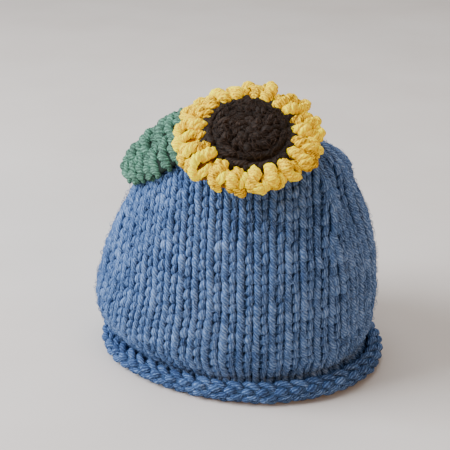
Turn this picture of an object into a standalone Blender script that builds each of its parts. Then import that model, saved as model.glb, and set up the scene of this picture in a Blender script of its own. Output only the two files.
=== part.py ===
"""Knitted tea cosy with a rolled hem, a crocheted sunflower and a leaf, standing hollow on its hem.

The origin is on the ground under the middle of the object's box. +X points to the handle side, -X to the
spout side, -Y to the front that carries the flower, +Z up. Tables and named sizes are in millimetres.
"""

import bpy
import numpy as np
from mathutils import Vector
from mathutils.bvhtree import BVHTree

MM = 0.001

# ---- the knitted shell ----
WALL = 3.2  # thickness of the knitted cloth
PANEL_COLUMNS = 34  # mesh columns of each half round, from slit to slit
WALL_ROWS = 26  # mesh rows from the hem to the crown
# Middle of the cloth, from the hem up to the crown: height, half length along X, centre along X, half width along Y.
SECTIONS = [
    # z, half_x, centre_x, half_y
    (4.6, 57.3, 1.0, 46.2),
    (9.0, 56.2, -0.4, 45.3),
    (13.0, 59.0, -1.6, 47.9),
    (18.0, 61.9, -2.6, 50.8),
    (25.0, 63.1, -2.9, 52.3),
    (36.0, 62.4, -1.8, 52.4),
    (52.0, 59.1, 0.3, 50.2),
    (68.0, 53.4, 2.3, 45.9),
    (84.0, 45.8, 3.3, 39.6),
    (96.0, 39.4, 2.6, 34.2),
    (103.0, 33.0, 1.4, 28.8),
    (108.0, 25.6, 0.6, 22.4),
    (111.4, 17.8, 0.3, 15.6),
    (113.6, 9.0, 0.1, 7.8),
    (114.4, 0.0, 0.0, 0.0),
]
# Soft ridges (rise above 0) and hollows (below 0) of the worn cloth. The angle runs from +X towards +Y.
SOFT_FORMS = [
    # angle_deg, z, half_round, half_up, lean_deg_per_mm, rise
    (-28.0, 82.0, 4.6, 22.0, 0.05, 2.6),
    (-16.0, 86.0, 5.0, 17.0, -0.10, -2.6),
    (-4.0, 94.0, 5.0, 10.0, 0.00, 1.8),
    (24.0, 91.0, 7.0, 6.5, 0.00, 2.8),
    (20.0, 79.0, 8.0, 6.0, 0.00, -1.4),
    (34.0, 84.0, 4.5, 16.0, 0.05, -1.2),
    (-160.0, 15.0, 15.0, 4.5, 0.00, -2.4),
    (-128.0, 30.0, 14.0, 9.0, 0.00, 0.9),
    (-150.0, 92.0, 5.0, 14.0, 0.00, -1.0),
    (158.0, 88.0, 5.0, 15.0, 0.00, 1.3),
    (146.0, 84.0, 4.5, 14.0, 0.00, -1.1),
    (95.0, 24.0, 16.0, 8.0, 0.00, 1.0),
    (60.0, 16.0, 13.0, 4.5, 0.00, -1.2),
    (-60.0, 15.0, 16.0, 4.0, 0.00, -0.8),
    (60.0, 101.5, 20.0, 6.5, 0.00, -4.2),
]
# Openings between the two halves, from their lower to their upper end.
SLITS = {
    # name: (angle_deg, z_low, z_high, half_gap at the ends, half_gap in the middle)
    "handle": (0.0, 21.0, 90.0, 5.2, 3.8),
    "spout": (180.0, 21.0, 74.0, 9.0, 10.5),
}
SLIT_EDGE_ROUND = 0.9  # how far the cloth's cut edge bulges

# ---- the rolled hem ----
ROLL_MID_RADIUS = 3.4
ROLL_ROWS = 11
ROLL_END_DEG = 110.0  # the cast-on edge rests against the wall here, measured from the outward side
HEM_SWELL = [(2.0, 0.25, 40.0), (3.0, 0.20, 200.0), (5.0, 0.12, 75.0)]  # waves round, mm, phase_deg

# ---- the sunflower ----
FLOWER_AT = (13.2, -25.5, 110.6)  # middle of the petal ring
FLOWER_TILT_DEG = 29.0  # how far its face leans from straight up
FLOWER_TURN_DEG = 22.0  # the way it leans, from -Y towards +X
PETALS = 21
PETAL_STEPS = 8  # mesh steps of each petal, round the ring
PETAL_TIP_R = 30.4
PETAL_CREASE_R = 26.8  # outer radius in the creases between petals
RING_INNER_R = 14.2
# Radial section of the petal ring: how far out (0 inner, 1 tip), top and bottom heights on a petal and in a crease.
PETAL_SECTION = [
    # out, top, crease_top, bottom, crease_bottom
    (0.00, 0.3, 0.3, -1.9, -1.9),
    (0.26, 0.8, 0.5, -2.1, -2.1),
    (0.40, 2.5, 0.4, -2.4, -2.6),
    (0.57, 3.3, -0.2, -2.9, -3.2),
    (0.74, 2.8, -1.0, -3.9, -3.9),
    (0.91, 1.3, -1.9, -4.0, -4.2),
    (1.00, -1.2, -3.0, -1.2, -3.0),
]
CENTRE_R = 18.6
CENTRE_TEETH = 21
CENTRE_TOOTH = 1.4
CENTRE_HUB_R = 13.7
# Top of the brown centre: share of its radius and height above the petal ring's middle.
CENTRE_TOP = [(1.0, 2.5), (0.93, 3.9), (0.80, 4.7), (0.62, 5.5), (0.42, 5.9), (0.22, 5.9), (0.0, 5.6)]
CENTRE_RIM_UNDER = 1.35  # height of the rim's underside
SEAT_GAP = 0.4  # free gap between a sewn-on piece and what it lies on

# ---- the leaf ----
LEAF_THICK = 2.8
# Middle line of the leaf from its sewn root to its tip, with its half width there.
LEAF_LINE = [
    # x, y, z, half_width
    (-8.5, -16.7, 111.4, 12.8),
    (-14.0, -19.0, 107.1, 15.2),
    (-24.0, -20.6, 101.1, 16.0),
    (-33.5, -19.8, 95.8, 14.2),
    (-41.5, -17.6, 90.8, 10.8),
    (-46.8, -15.2, 87.2, 7.2),
    (-49.4, -14.2, 85.0, 4.0),
]
LEAF_ACROSS = (-0.12, 0.68, 0.72)  # direction from the leaf's front edge to its back edge
LEAF_ROWS = 28
LEAF_COLUMNS = 8
LEAF_RIBS = 7
LEAF_RIB_RISE = 0.7
LEAF_CUP = 1.6  # how far the edges turn down


def clear_scene():
    """Removes every object that the starting scene holds."""
    for obj in list(bpy.data.objects):
        bpy.data.objects.remove(obj, do_unlink=True)


def linear(hex_colour):
    """The linear value of an sRGB hex colour."""
    part = np.array([int(hex_colour[i : i + 2], 16) for i in (0, 2, 4)]) / 255
    value = np.where(part <= 0.04045, part / 12.92, ((part + 0.055) / 1.055) ** 2.4)
    return tuple(float(v) for v in value) + (1.0,)


def yarn_material(name, hex_colour, roughness):
    """Matte wool-like yarn of one colour."""
    material = bpy.data.materials.new(name)
    material.use_nodes = True
    shader = next(n for n in material.node_tree.nodes if n.type == "BSDF_PRINCIPLED")
    shader.inputs["Base Color"].default_value = linear(hex_colour)
    shader.inputs["Roughness"].default_value = roughness
    shader.inputs["Metallic"].default_value = 0.0
    material.diffuse_color = linear(hex_colour)
    return material


def curve_through(table, count, before, after):
    """Points at even arc length on a smooth curve through the table's rows; before and after are its end guides."""
    knots = np.vstack([before, np.asarray(table, float), after])
    step = np.linspace(0, 1, 33)[:-1, None]
    dense = []
    for a, b, c, d in zip(knots[:-3], knots[1:-2], knots[2:-1], knots[3:]):
        dense.append(
            0.5 * (2 * b + (c - a) * step + (2 * a - 5 * b + 4 * c - d) * step**2 + (3 * b - a - 3 * c + d) * step**3)
        )
    dense = np.vstack(dense + [knots[-2:-1]])
    along = np.concatenate([[0], np.cumsum(np.linalg.norm(np.diff(dense, axis=0), axis=1))])
    wanted = np.linspace(0, along[-1], count)
    return np.stack([np.interp(wanted, along, column) for column in dense.T], axis=1)


def grid_normals(points):
    """Unit normals of a grid of points, rows going up and columns going round with the angle."""
    up = np.gradient(points, axis=0)
    around = np.gradient(points, axis=1)
    normal = np.cross(around, up)
    return normal / np.maximum(np.linalg.norm(normal, axis=2, keepdims=True), 1e-9)


def grid_faces(first, rows, columns, flip=False, closed=False):
    """Quads of a grid whose vertices start at first; closed joins the last column to column 0."""
    index = first + np.arange(rows * columns).reshape(rows, columns)
    if closed:
        index = np.hstack([index, index[:, :1]])
    a, b, c, d = index[:-1, :-1], index[:-1, 1:], index[1:, 1:], index[1:, :-1]
    quads = np.stack([a, b, c, d], axis=-1).reshape(-1, 4)
    return quads[:, ::-1] if flip else quads


def add_solid(name, grids, material):
    """One mesh object from (points, flip, closed) grids in millimetres, welded where their points meet."""
    points, faces, count = [], [], 0
    for grid, flip, closed in grids:
        rows, columns = grid.shape[:2]
        points.append(grid.reshape(-1, 3))
        faces.append(grid_faces(count, rows, columns, flip, closed))
        count += rows * columns
    points, faces = np.vstack(points), np.vstack(faces)
    _, first, index = np.unique(np.round(points, 4), axis=0, return_index=True, return_inverse=True)
    faces = index.reshape(-1)[faces]
    polygons = []
    for face in faces.tolist():
        kept = [v for i, v in enumerate(face) if v != face[i - 1]]
        if len(set(kept)) > 2:
            polygons.append(kept)
    mesh = bpy.data.meshes.new(name)
    mesh.from_pydata((points[first] * MM).tolist(), [], polygons)
    mesh.materials.append(material)
    mesh.update()
    obj = bpy.data.objects.new(name, mesh)
    bpy.context.scene.collection.objects.link(obj)
    return obj


def slit_half_gap(name, z):
    """Half of a slit's gap at each height, in millimetres; 0 outside the slit."""
    _, low, high, ends, middle = SLITS[name]
    lens = np.sin(np.pi * np.clip((z - low) / (high - low), 0, 1))
    return np.where((z > low) & (z < high), np.sqrt(lens) * (ends + (middle - ends) * lens**3), 0)


def panel_angles(front, z, half_x):
    """Angles in radians of one half's columns at each row, drawn aside where a slit is open."""
    spout, handle = slit_half_gap("spout", z) / half_x, slit_half_gap("handle", z) / half_x
    share = np.linspace(0, 1, PANEL_COLUMNS + 1)
    if front:
        low, high = -np.pi + spout, -handle
    else:
        low, high = handle, np.pi - spout
    return low[:, None] + (high - low)[:, None] * share


def wall_points(angle, rows):
    """The middle of the cloth on the dome: an oval at each height."""
    z, half_x, centre, half_y = (rows[:, i : i + 1] for i in range(4))
    return np.stack([centre + half_x * np.cos(angle), half_y * np.sin(angle), z + 0 * angle], axis=2)


def roll_points(angle):
    """The middle of the cloth in the hem, from the cast-on edge over the top, outside and underside to the wall."""
    z, half_x, centre, half_y = SECTIONS[0]
    turn = np.radians(np.linspace(ROLL_END_DEG, -180, ROLL_ROWS + 1))[:-1, None]
    swell = sum(size * np.sin(waves * angle + np.radians(phase)) for waves, size, phase in HEM_SWELL)
    radius = ROLL_MID_RADIUS + swell * (1 + np.cos(turn)) / 2
    flat = np.stack([np.cos(angle) / half_x, np.sin(angle) / half_y], axis=2)
    flat /= np.linalg.norm(flat, axis=2, keepdims=True)
    out = radius * (1 + np.cos(turn))
    return np.stack(
        [
            centre + half_x * np.cos(angle) + out * flat[..., 0],
            half_y * np.sin(angle) + out * flat[..., 1],
            z + radius * np.sin(turn) + 0 * angle,
        ],
        axis=2,
    )


def soft_rise(angle, z, half_x):
    """How far the soft ridges and hollows lift the cloth, in millimetres."""
    rise = np.zeros_like(angle)
    for degrees, height, half_round, half_up, lean, lift in SOFT_FORMS:
        centre = np.radians(degrees + lean * (z - height))
        away = (angle - centre + np.pi) % (2 * np.pi) - np.pi
        rise += lift * np.exp(-((away * half_x / half_round) ** 2) - ((z - height) / half_up) ** 2)
    calm = np.clip((z - 6) / 6, 0, 1) * np.clip((114 - z) / 8, 0, 1)
    return rise * calm


def wall_rows():
    """Height, half length and centre of each mesh row from the hem to the crown."""
    rows = curve_through(SECTIONS, WALL_ROWS + 1, (0.0, 57.4, 1.0, 46.3), (113.6, -9.0, 0.1, -7.8))
    rows[-1] = SECTIONS[-1]
    return rows


def row_gap(name):
    """Half of a slit's gap at every mesh row, the hem's rows included."""
    return np.concatenate([np.zeros(ROLL_ROWS), slit_half_gap(name, wall_rows()[:, 0])])


def join_halves(halves):
    """Makes the two halves' edge columns meet wherever no slit is open."""
    for name, front_column, back_column in (("spout", 0, -1), ("handle", -1, 0)):
        shut = row_gap(name) == 0
        for front_face, back_face in zip(halves[True], halves[False]):
            seam = (front_face[shut, front_column] + back_face[shut, back_column]) / 2
            front_face[shut, front_column] = back_face[shut, back_column] = seam


def body_faces(front):
    """The cloth's two faces on one half: the inward (purl) face and the outward (knit) face, rows from the hem's edge up."""
    rows = wall_rows()
    angle = panel_angles(front, rows[:, 0], np.maximum(rows[:, 1], 20))
    # Columns just past each edge keep the two halves' normals alike where they are joined.
    step = angle[:, 1:2] - angle[:, 0:1]
    angle = np.hstack([angle[:, :1] - step, angle, angle[:, -1:] + step])
    wall = wall_points(angle, rows)
    half_x, z = np.maximum(rows[:, 1:2], 4), rows[:, :1]
    wall += grid_normals(wall) * soft_rise(angle, z, half_x)[..., None]
    roll = roll_points(np.repeat(angle[:1], ROLL_ROWS, axis=0))
    middle = np.vstack([roll, wall])
    normal = grid_normals(middle)
    normal[-1] = (0, 0, 1)
    inward, outward = middle - normal * WALL / 2, middle + normal * WALL / 2
    for face in (inward, outward):
        face[-1, :, :2] = 0
        face[:, :, 2] = np.maximum(face[:, :, 2], 0)
    return inward[:, 1:-1], outward[:, 1:-1]


def rim_between(inward, outward, bulge):
    """The rounded cloth edge between the two faces: three points across it."""
    return np.stack([inward, (inward + outward) / 2 + bulge, outward], axis=1)


def cosy_body(material):
    """The knitted shell: two halves joined above and below the slits, with the hem rolled outward."""
    grids = []
    halves = {True: body_faces(True), False: body_faces(False)}
    join_halves(halves)
    for front, (inward, outward) in halves.items():
        grids.append((outward, False, False))
        grids.append((inward, True, False))
        along = inward[0] - inward[1]
        tip = along / np.linalg.norm(along, axis=1, keepdims=True) * WALL * 0.3
        grids.append((rim_between(inward[0], outward[0], tip).transpose(1, 0, 2)[::1], False, False))
        for column, beside, flip in ((0, 1, False), (-1, -2, True)):
            gap = row_gap("spout" if (column == 0) == front else "handle")
            away = outward[:, column] - outward[:, beside]
            away /= np.maximum(np.linalg.norm(away, axis=1, keepdims=True), 1e-9)
            open_rows = np.flatnonzero(gap > 0)
            span = slice(open_rows[0] - 1, open_rows[-1] + 2)
            bulge = away * (SLIT_EDGE_ROUND * np.minimum(gap / 2, 1))[:, None]
            edge = rim_between(inward[:, column], outward[:, column], bulge)[span]
            grids.append((edge, flip, False))
    return add_solid("cosy_body", grids, material)


def tree_of(objects):
    """A ray-casting tree of the objects' faces."""
    points, polygons = [], []
    for obj in objects:
        first = len(points)
        points += [v.co.copy() for v in obj.data.vertices]
        polygons += [tuple(first + v for v in p.vertices) for p in obj.data.polygons]
    return BVHTree.FromPolygons(points, polygons)


def flower_axes():
    """The flower's own axes: across, up its face, and out of its face."""
    tilt, turn = np.radians(FLOWER_TILT_DEG), np.radians(FLOWER_TURN_DEG)
    out = np.array([np.sin(tilt) * np.sin(turn), -np.sin(tilt) * np.cos(turn), np.cos(tilt)])
    across = np.array([np.cos(turn), np.sin(turn), 0.0])
    return across, np.cross(out, across), out


def flower_point(radius, angle, height):
    """Points from the flower's own radius, angle and height."""
    across, up, out = flower_axes()
    radius, angle, height = np.broadcast_arrays(radius, angle, height)
    return (
        np.array(FLOWER_AT)
        + (radius * np.cos(angle))[..., None] * across
        + (radius * np.sin(angle))[..., None] * up
        + height[..., None] * out
    )


def clearance(tree, point, way):
    """How far a point must move along way to lie a seat gap above the solids; negative where it is clear already."""
    start = np.array(point) + 25 * way
    distance = tree.ray_cast(Vector(start * MM), Vector(-way), 60 * MM)[3]
    return -99.0 if distance is None else 25 - distance / MM + SEAT_GAP


def cloth_height(tree, radius, angle):
    """Height of the knitted cloth under the flower, measured out of the flower's face; far below where it has fallen away."""
    out = flower_axes()[2]
    starts = flower_point(radius, angle, 30.0)
    found = np.full(starts.shape[:2], -60.0)
    for place in np.ndindex(*found.shape):
        distance = tree.ray_cast(Vector(starts[place] * MM), Vector(-out))[3]
        if distance is not None:
            found[place] = 30.0 - distance / MM
    # Each point also clears what lies under its neighbours, so the flat faces between them clear it too.
    return np.maximum(found, np.maximum(np.roll(found, 1, axis=1), np.roll(found, -1, axis=1)))


def flower_petals(tree, material):
    """The ring of petals: a closed radial section swept round, swelling on each petal and pinched in each crease."""
    count = PETALS * PETAL_STEPS
    angle = np.linspace(0, 2 * np.pi, count, endpoint=False)[None, :]
    lobe = np.abs(np.cos(PETALS * angle / 2)) ** 0.75
    fold = 0.35 * np.sin(PETALS * angle)  # each petal is turned over a little to one side
    table = np.array(PETAL_SECTION)
    out, top, crease_top, bottom, crease_bottom = (table[:, i : i + 1] for i in range(5))
    tip = PETAL_CREASE_R + (PETAL_TIP_R - PETAL_CREASE_R) * lobe
    tip = tip + 0.7 * np.sin(3 * angle + 1.0) * lobe + 0.5 * np.sin(8 * angle) * lobe
    radius = RING_INNER_R + (tip - RING_INNER_R) * out
    upper = crease_top + (top - crease_top) * lobe + fold * out * lobe * 2
    lower = crease_bottom + (bottom - crease_bottom) * lobe
    lower = np.minimum(lower, upper - 0.9)
    lower = np.maximum(lower, cloth_height(tree, radius, angle) + SEAT_GAP)
    upper = np.maximum(upper, lower + 0.9)
    upper[-1] = lower[-1] = (upper[-1] + lower[-1]) / 2
    loop = np.concatenate([lower[:-1], upper[::-1]])
    loop_radius = np.concatenate([radius[:-1], radius[::-1]])
    ring = flower_point(loop_radius, angle, loop)
    ring = np.concatenate([ring, ring[:1]])
    return add_solid("flower_petals", [(ring, False, True)], material)


def flower_centre(tree, material):
    """The domed brown round with a toothed rim and a back that lies on the knitted cloth."""
    count = CENTRE_TEETH * 4
    angle = np.linspace(0, 2 * np.pi, count, endpoint=False)[None, :]
    tooth = -CENTRE_TOOTH * (np.cos(CENTRE_TEETH * angle) + 0.3)
    table = np.array(CENTRE_TOP)
    share, height = table[:, :1], table[:, 1:]
    top_r = CENTRE_R * share + tooth * np.clip((share - 0.8) / 0.2, 0, 1)
    top = flower_point(top_r, angle, height + 0 * angle)
    rim = flower_point(CENTRE_R + tooth, angle, CENTRE_RIM_UNDER + 0.1)
    under_r = np.array([CENTRE_HUB_R + 1.6, CENTRE_HUB_R])[:, None] + 0 * angle
    under = flower_point(under_r, angle, np.array([CENTRE_RIM_UNDER, CENTRE_RIM_UNDER - 0.3])[:, None] + 0 * angle)
    back_r = CENTRE_HUB_R * np.array([1.0, 0.7, 0.35, 0.0])[:, None] + 0 * angle
    back = flower_point(back_r, angle, cloth_height(tree, back_r, angle) + SEAT_GAP)
    rows = np.concatenate([back[::-1], under[::-1], rim, top])
    return add_solid("flower_centre", [(rows, False, True)], material)


def leaf(tree, material):
    """The crocheted leaf: a thick sheet about a bent middle line, ribbed across, its root lying on the cloth."""
    line = curve_through(
        LEAF_LINE,
        LEAF_ROWS + 1,
        2 * np.array(LEAF_LINE[0]) - np.array(LEAF_LINE[1]),
        2 * np.array(LEAF_LINE[-1]) - np.array(LEAF_LINE[-2]),
    )
    along = np.gradient(line[:, :3], axis=0)
    along /= np.linalg.norm(along, axis=1, keepdims=True)
    across = np.array(LEAF_ACROSS) - along * (along @ np.array(LEAF_ACROSS))[:, None]
    across /= np.linalg.norm(across, axis=1, keepdims=True)
    face = np.cross(across, along)
    side = np.linspace(-1, 1, LEAF_COLUMNS + 1)[None, :, None]
    share = np.linspace(0, 1, LEAF_ROWS + 1)[:, None, None]
    middle = line[:, None, :3] + side * line[:, None, 3:] * across[:, None] - LEAF_CUP * side**2 * face[:, None]
    rib = LEAF_RIB_RISE * np.sin(2 * np.pi * LEAF_RIBS * share) * np.clip(1 - side**2, 0, 1) - 0.6 * np.exp(-((side / 0.12) ** 2))
    thick = LEAF_THICK / 2 * np.sqrt(np.clip(1.15 - side**4, 0.05, 1))
    lower = middle - face[:, None] * thick
    lift = np.array([[clearance(tree, point, way) for point in row] for row, way in zip(lower, face)])
    lift = np.maximum(lift, 0)[..., None] * face[:, None]
    lower, upper = lower + lift, middle + face[:, None] * (thick + rib) + lift
    grids = [(upper, False, False), (lower, True, False)]
    for column, flip in ((0, False), (-1, True)):
        grids.append((np.stack([lower[:, column], upper[:, column]], axis=1), flip, False))
    for row, flip in ((0, False), (-1, True)):
        grids.append((np.stack([lower[row], upper[row]], axis=0), flip, False))
    return add_solid("leaf", grids, material)


def main():
    clear_scene()
    body = cosy_body(yarn_material("blue_yarn", "5f7fae", 0.9))
    sewn_leaf = leaf(tree_of([body]), yarn_material("green_yarn", "6fa388", 0.9))
    under_flower = tree_of([body, sewn_leaf])
    flower_petals(under_flower, yarn_material("yellow_yarn", "f3c631", 0.85))
    flower_centre(under_flower, yarn_material("brown_yarn", "241a16", 0.95))


main()
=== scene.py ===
"""Hand-knitted tea cosy with a rolled hem, a crocheted sunflower and a leaf, dressed stitch by stitch.

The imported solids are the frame. Each soft solid is replaced by a cloth or crochet base with its yarn on it:
one closed piece of yarn for each leg of each stitch. Tables and named sizes are in millimetres; the meshes
are in metres, with the origin on the ground under the middle of the object, +X to the handle and -Y to the
front.
"""

import bpy
import numpy as np
from bpy.props import FloatProperty, FloatVectorProperty, IntProperty, PointerProperty
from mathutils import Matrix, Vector
from mathutils.bvhtree import BVHTree


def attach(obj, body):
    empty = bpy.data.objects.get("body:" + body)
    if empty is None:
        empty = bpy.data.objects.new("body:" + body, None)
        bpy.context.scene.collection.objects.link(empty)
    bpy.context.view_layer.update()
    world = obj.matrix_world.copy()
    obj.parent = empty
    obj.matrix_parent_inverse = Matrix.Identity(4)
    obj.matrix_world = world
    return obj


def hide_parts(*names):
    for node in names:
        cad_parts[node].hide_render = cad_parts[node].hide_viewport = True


bl_info = {
    "name": "Knitted Tea Cosy",
    "version": (1, 0, 0),
    "blender": (4, 5, 0),
    "location": "3D View > Sidebar > Tea Cosy",
    "description": "A knitted tea cosy with a crocheted sunflower and leaf",
    "category": "Add Mesh",
}

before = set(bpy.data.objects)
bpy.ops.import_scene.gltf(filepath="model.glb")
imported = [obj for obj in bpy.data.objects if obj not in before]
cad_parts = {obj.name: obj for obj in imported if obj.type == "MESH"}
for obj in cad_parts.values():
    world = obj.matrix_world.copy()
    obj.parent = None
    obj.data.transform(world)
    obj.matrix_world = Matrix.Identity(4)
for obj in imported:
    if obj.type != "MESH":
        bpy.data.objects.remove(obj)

MM = 0.001

# ---- the knitted dome: middle of the cloth, from the hem up to the crown ----
OVAL_RATIO = 0.85  # front-to-back size over spout-to-handle size, for distances round the dome
SECTIONS = [
    # z, half_x, centre_x, half_y
    (4.6, 57.3, 1.0, 46.2),
    (9.0, 56.2, -0.4, 45.3),
    (13.0, 59.0, -1.6, 47.9),
    (18.0, 61.9, -2.6, 50.8),
    (25.0, 63.1, -2.9, 52.3),
    (36.0, 62.4, -1.8, 52.4),
    (52.0, 59.1, 0.3, 50.2),
    (68.0, 53.4, 2.3, 45.9),
    (84.0, 45.8, 3.3, 39.6),
    (96.0, 39.4, 2.6, 34.2),
    (103.0, 33.0, 1.4, 28.8),
    (108.0, 25.6, 0.6, 22.4),
    (111.4, 17.8, 0.3, 15.6),
    (113.6, 9.0, 0.1, 7.8),
    (114.4, 0.0, 0.0, 0.0),
]
# Rows that guide the curve past its two ends.
SECTION_GUIDES = [(0.0, 57.4, 1.0, 46.3), (113.6, -9.0, 0.1, -7.8)]
OVAL_MEAN = 0.93  # a section's mean half size over its half length, for distances up the cloth
# Soft ridges (rise above 0) and hollows (below 0) of the worn cloth. The angle runs from +X towards +Y.
SOFT_FORMS = [
    # angle_deg, z, half_round, half_up, lean_deg_per_mm, rise
    (-28.0, 82.0, 4.6, 22.0, 0.05, 2.6),
    (-16.0, 86.0, 5.0, 17.0, -0.10, -2.6),
    (-4.0, 94.0, 5.0, 10.0, 0.00, 1.8),
    (24.0, 91.0, 7.0, 6.5, 0.00, 2.8),
    (20.0, 79.0, 8.0, 6.0, 0.00, -1.4),
    (34.0, 84.0, 4.5, 16.0, 0.05, -1.2),
    (-160.0, 15.0, 15.0, 4.5, 0.00, -2.4),
    (-128.0, 30.0, 14.0, 9.0, 0.00, 0.9),
    (-150.0, 92.0, 5.0, 14.0, 0.00, -1.0),
    (158.0, 88.0, 5.0, 15.0, 0.00, 1.3),
    (146.0, 84.0, 4.5, 14.0, 0.00, -1.1),
    (95.0, 24.0, 16.0, 8.0, 0.00, 1.0),
    (60.0, 16.0, 13.0, 4.5, 0.00, -1.2),
    (-60.0, 15.0, 16.0, 4.0, 0.00, -0.8),
    (60.0, 101.5, 20.0, 6.5, 0.00, -4.2),
    # Here the stitches sink into the solid, where the rows are drawn together.
    (27.0, 97.0, 16.0, 11.0, 0.00, -2.9),
]
SLITS = {
    # name: (angle_deg, z_low, z_high, half_gap at the ends, half_gap in the middle)
    "handle": (0.0, 21.0, 90.0, 5.2, 3.8),
    "spout": (180.0, 21.0, 74.0, 9.0, 10.5),
}
SLIT_MIN_SIZE = 20.0  # a slit's gap becomes an angle by the row's half length, or by this if that is less
HALF_CLOTH = 1.6  # from the cloth's middle to either of its faces
SHAPING_FROM_Z = 40.0  # above this the rows lose stitches
SHAPING_NARROWS = 0.2  # the stitches' width follows the row's length to this power
UPRIGHT_FACES_DEG = 20.0  # each half has a column that looks straight up from this far round from the front
UPRIGHT_ASIDE = {True: 8.3, False: 0.0}  # how far that column stands to the right of the middle there
SHAPING_LINES_Z = 82.0
SHAPING_LINES = {
    # half: the two lines where stitches are lost, as (angle_deg at SHAPING_LINES_Z, lean_deg_per_mm)
    True: ((-152.0, -0.05), (-28.0, 0.05)),
    False: ((27.0, -0.05), (153.0, 0.05)),
}

# ---- the rolled hem ----
ROLL_MID_RADIUS = 3.4
ROLL_END_DEG = 110.0  # the cast-on edge rests against the wall here, measured from the outward side
HEM_SWELL = [(2.0, 0.25, 40.0), (3.0, 0.20, 200.0), (5.0, 0.12, 75.0)]  # waves round, mm, phase_deg

# ---- one knit stitch: its two legs, each from its upper to its lower end ----
ROW_MM = 4.35
STITCH_MM = 6.6  # the width of stitch that the legs' half sizes are given for
FIRST_ROW, LAST_ROW = 2.6, 2.5  # the rows begin this far above the roll and end this far below the crown
WAVER = (0.25, 0.5, 0.6, 0.5, 0.25)  # how much each of five rows adds to a column's waver
# How far a leg strays with its column's waver and by itself: in rows up, in columns across.
STRAY_UP, STRAY_ACROSS = (0.06, 0.05), (0.028, 0.022)
STRAY_LIFT = (0.16, 0.10, 0.7)  # mm, with its stitch, by itself, and where two stitches are worked together
LEG_SIZE = (1.03, 0.09)  # the legs' mean size, and how much it varies
RIGHT_LEG = [
    # across (columns), along (rows), height over the cloth's middle, half_wide, half_high
    (0.20, 0.77, -0.75, 0.85, 0.75),
    (0.215, 0.54, 0.08, 1.32, 1.15),
    (0.24, 0.20, 0.58, 1.58, 1.30),
    (0.26, -0.16, 0.55, 1.58, 1.30),
    (0.28, -0.48, -0.05, 1.34, 1.15),
    (0.29, -0.71, -0.90, 0.85, 0.75),
]
LEFT_LEG = [
    (-0.17, 0.66, -1.10, 0.55, 0.55),
    (-0.19, 0.44, -0.10, 0.98, 0.90),
    (-0.24, 0.12, 0.42, 1.38, 1.18),
    (-0.30, -0.20, 0.42, 1.52, 1.15),
    (-0.345, -0.46, -0.15, 1.28, 0.90),
    (-0.355, -0.60, -1.10, 0.72, 0.60),
]

# ---- the sunflower ----
FLOWER_AT = (13.2, -25.5, 110.6)  # middle of the petal ring
FLOWER_TILT_DEG = 29.0  # how far its face leans from straight up
FLOWER_TURN_DEG = 22.0  # the way it leans, from -Y towards +X
PETAL_SECTION = [
    # out (0 inner, 1 tip), top, crease_top, bottom, crease_bottom: the firm inside of the ring
    (0.00, 0.3, 0.3, -1.6, -1.6),
    (0.26, 0.6, 0.3, -1.8, -1.8),
    (0.40, 1.4, 0.2, -2.1, -2.2),
    (0.57, 1.6, -0.4, -2.5, -2.7),
    (0.74, 1.1, -1.3, -3.2, -3.2),
    (0.91, -0.2, -2.2, -3.4, -3.5),
    (1.00, -1.6, -3.0, -1.6, -3.0),
]
RING_INNER_R = 14.2
PETAL_TIP_R = 27.4
PETAL_CREASE_R = 25.4
CENTRE_R = 18.6
CENTRE_TOP = [(1.0, 1.9), (0.93, 2.7), (0.80, 3.4), (0.62, 4.2), (0.42, 4.6), (0.22, 4.6), (0.0, 4.4)]
CENTRE_HUB_R = 13.7
SEAT_GAP = 0.4

# ---- the leaf: its middle line from the sewn root to the tip ----
LEAF_LINE = [
    # x, y, z, half_width
    (-8.5, -16.7, 111.4, 12.8),
    (-14.0, -19.0, 107.1, 15.2),
    (-24.0, -20.6, 101.1, 16.0),
    (-33.5, -19.8, 95.8, 14.2),
    (-41.5, -17.6, 90.8, 10.8),
    (-46.8, -15.2, 87.2, 7.2),
    (-49.4, -14.2, 85.0, 4.0),
]
LEAF_ACROSS = (-0.12, 0.68, 0.72)  # direction from the leaf's front edge to its back edge
LEAF_CUP = 1.6  # how far the edges turn down
LEAF_THICK = 2.8

# ---- the camera: where it stands, and the way it faces ----
CAMERA_AT = (145.626, -400.105, 236.906)
CAMERA_BACK = (0.31317505, -0.86044138, 0.40194778)
CAMERA_RIGHT = (0.93969262, 0.34202014, 0.0)
FOCAL_PX = 1032.0
FRAME_PX = 450  # the frame's width
SENSOR_MM = 36.0
FRAME_ASIDE_PX = (14.6, 19.7)  # the frame's middle lies this far left of the camera's axis and above it

# ---- the stage, in metres ----
FLOOR_R, FLOOR_CURVE, WALL_TOP = 5.0, 1.2, 1.8  # flat, then curved up to a low wall
LIT_AT = (0.0, 0.0, 0.06)  # the lamps face this point
LIGHTS = [
    # name, place, size, watts, hex
    ("key_light", (-0.92, -0.50, 0.80), 0.8, 39.0, "f6f8ff"),
    ("fill_light", (3.04, -1.92, 1.15), 1.6, 58.9, "ffbf80"),
    ("top_light", (-0.10, 0.20, 1.15), 0.9, 7.0, "ffffff"),
]
SKY_HEX, SKY_STRENGTH = "ece9e8", 0.575


# ======== shapes as arrays ========

END_POINT = 0.7  # how far a length of yarn's point reaches past its end, in half thicknesses
ROPES = {
    # strands: how far each stands from the rope's middle, and its half thickness, in the rope's half size
    2: (0.42, 0.64),
    4: (0.54, 0.49),
}


def unit(vectors):
    """Each vector divided by its own length."""
    return vectors / np.maximum(np.linalg.norm(vectors, axis=-1, keepdims=True), 1e-9)


def lengths(path):
    """Distance along each path (n, m, k) at each of its points: the running sum of its steps' lengths."""
    step = np.linalg.norm(np.diff(path, axis=1), axis=2)
    return np.concatenate([np.zeros((len(path), 1)), np.cumsum(step, axis=1)], axis=1)


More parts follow.
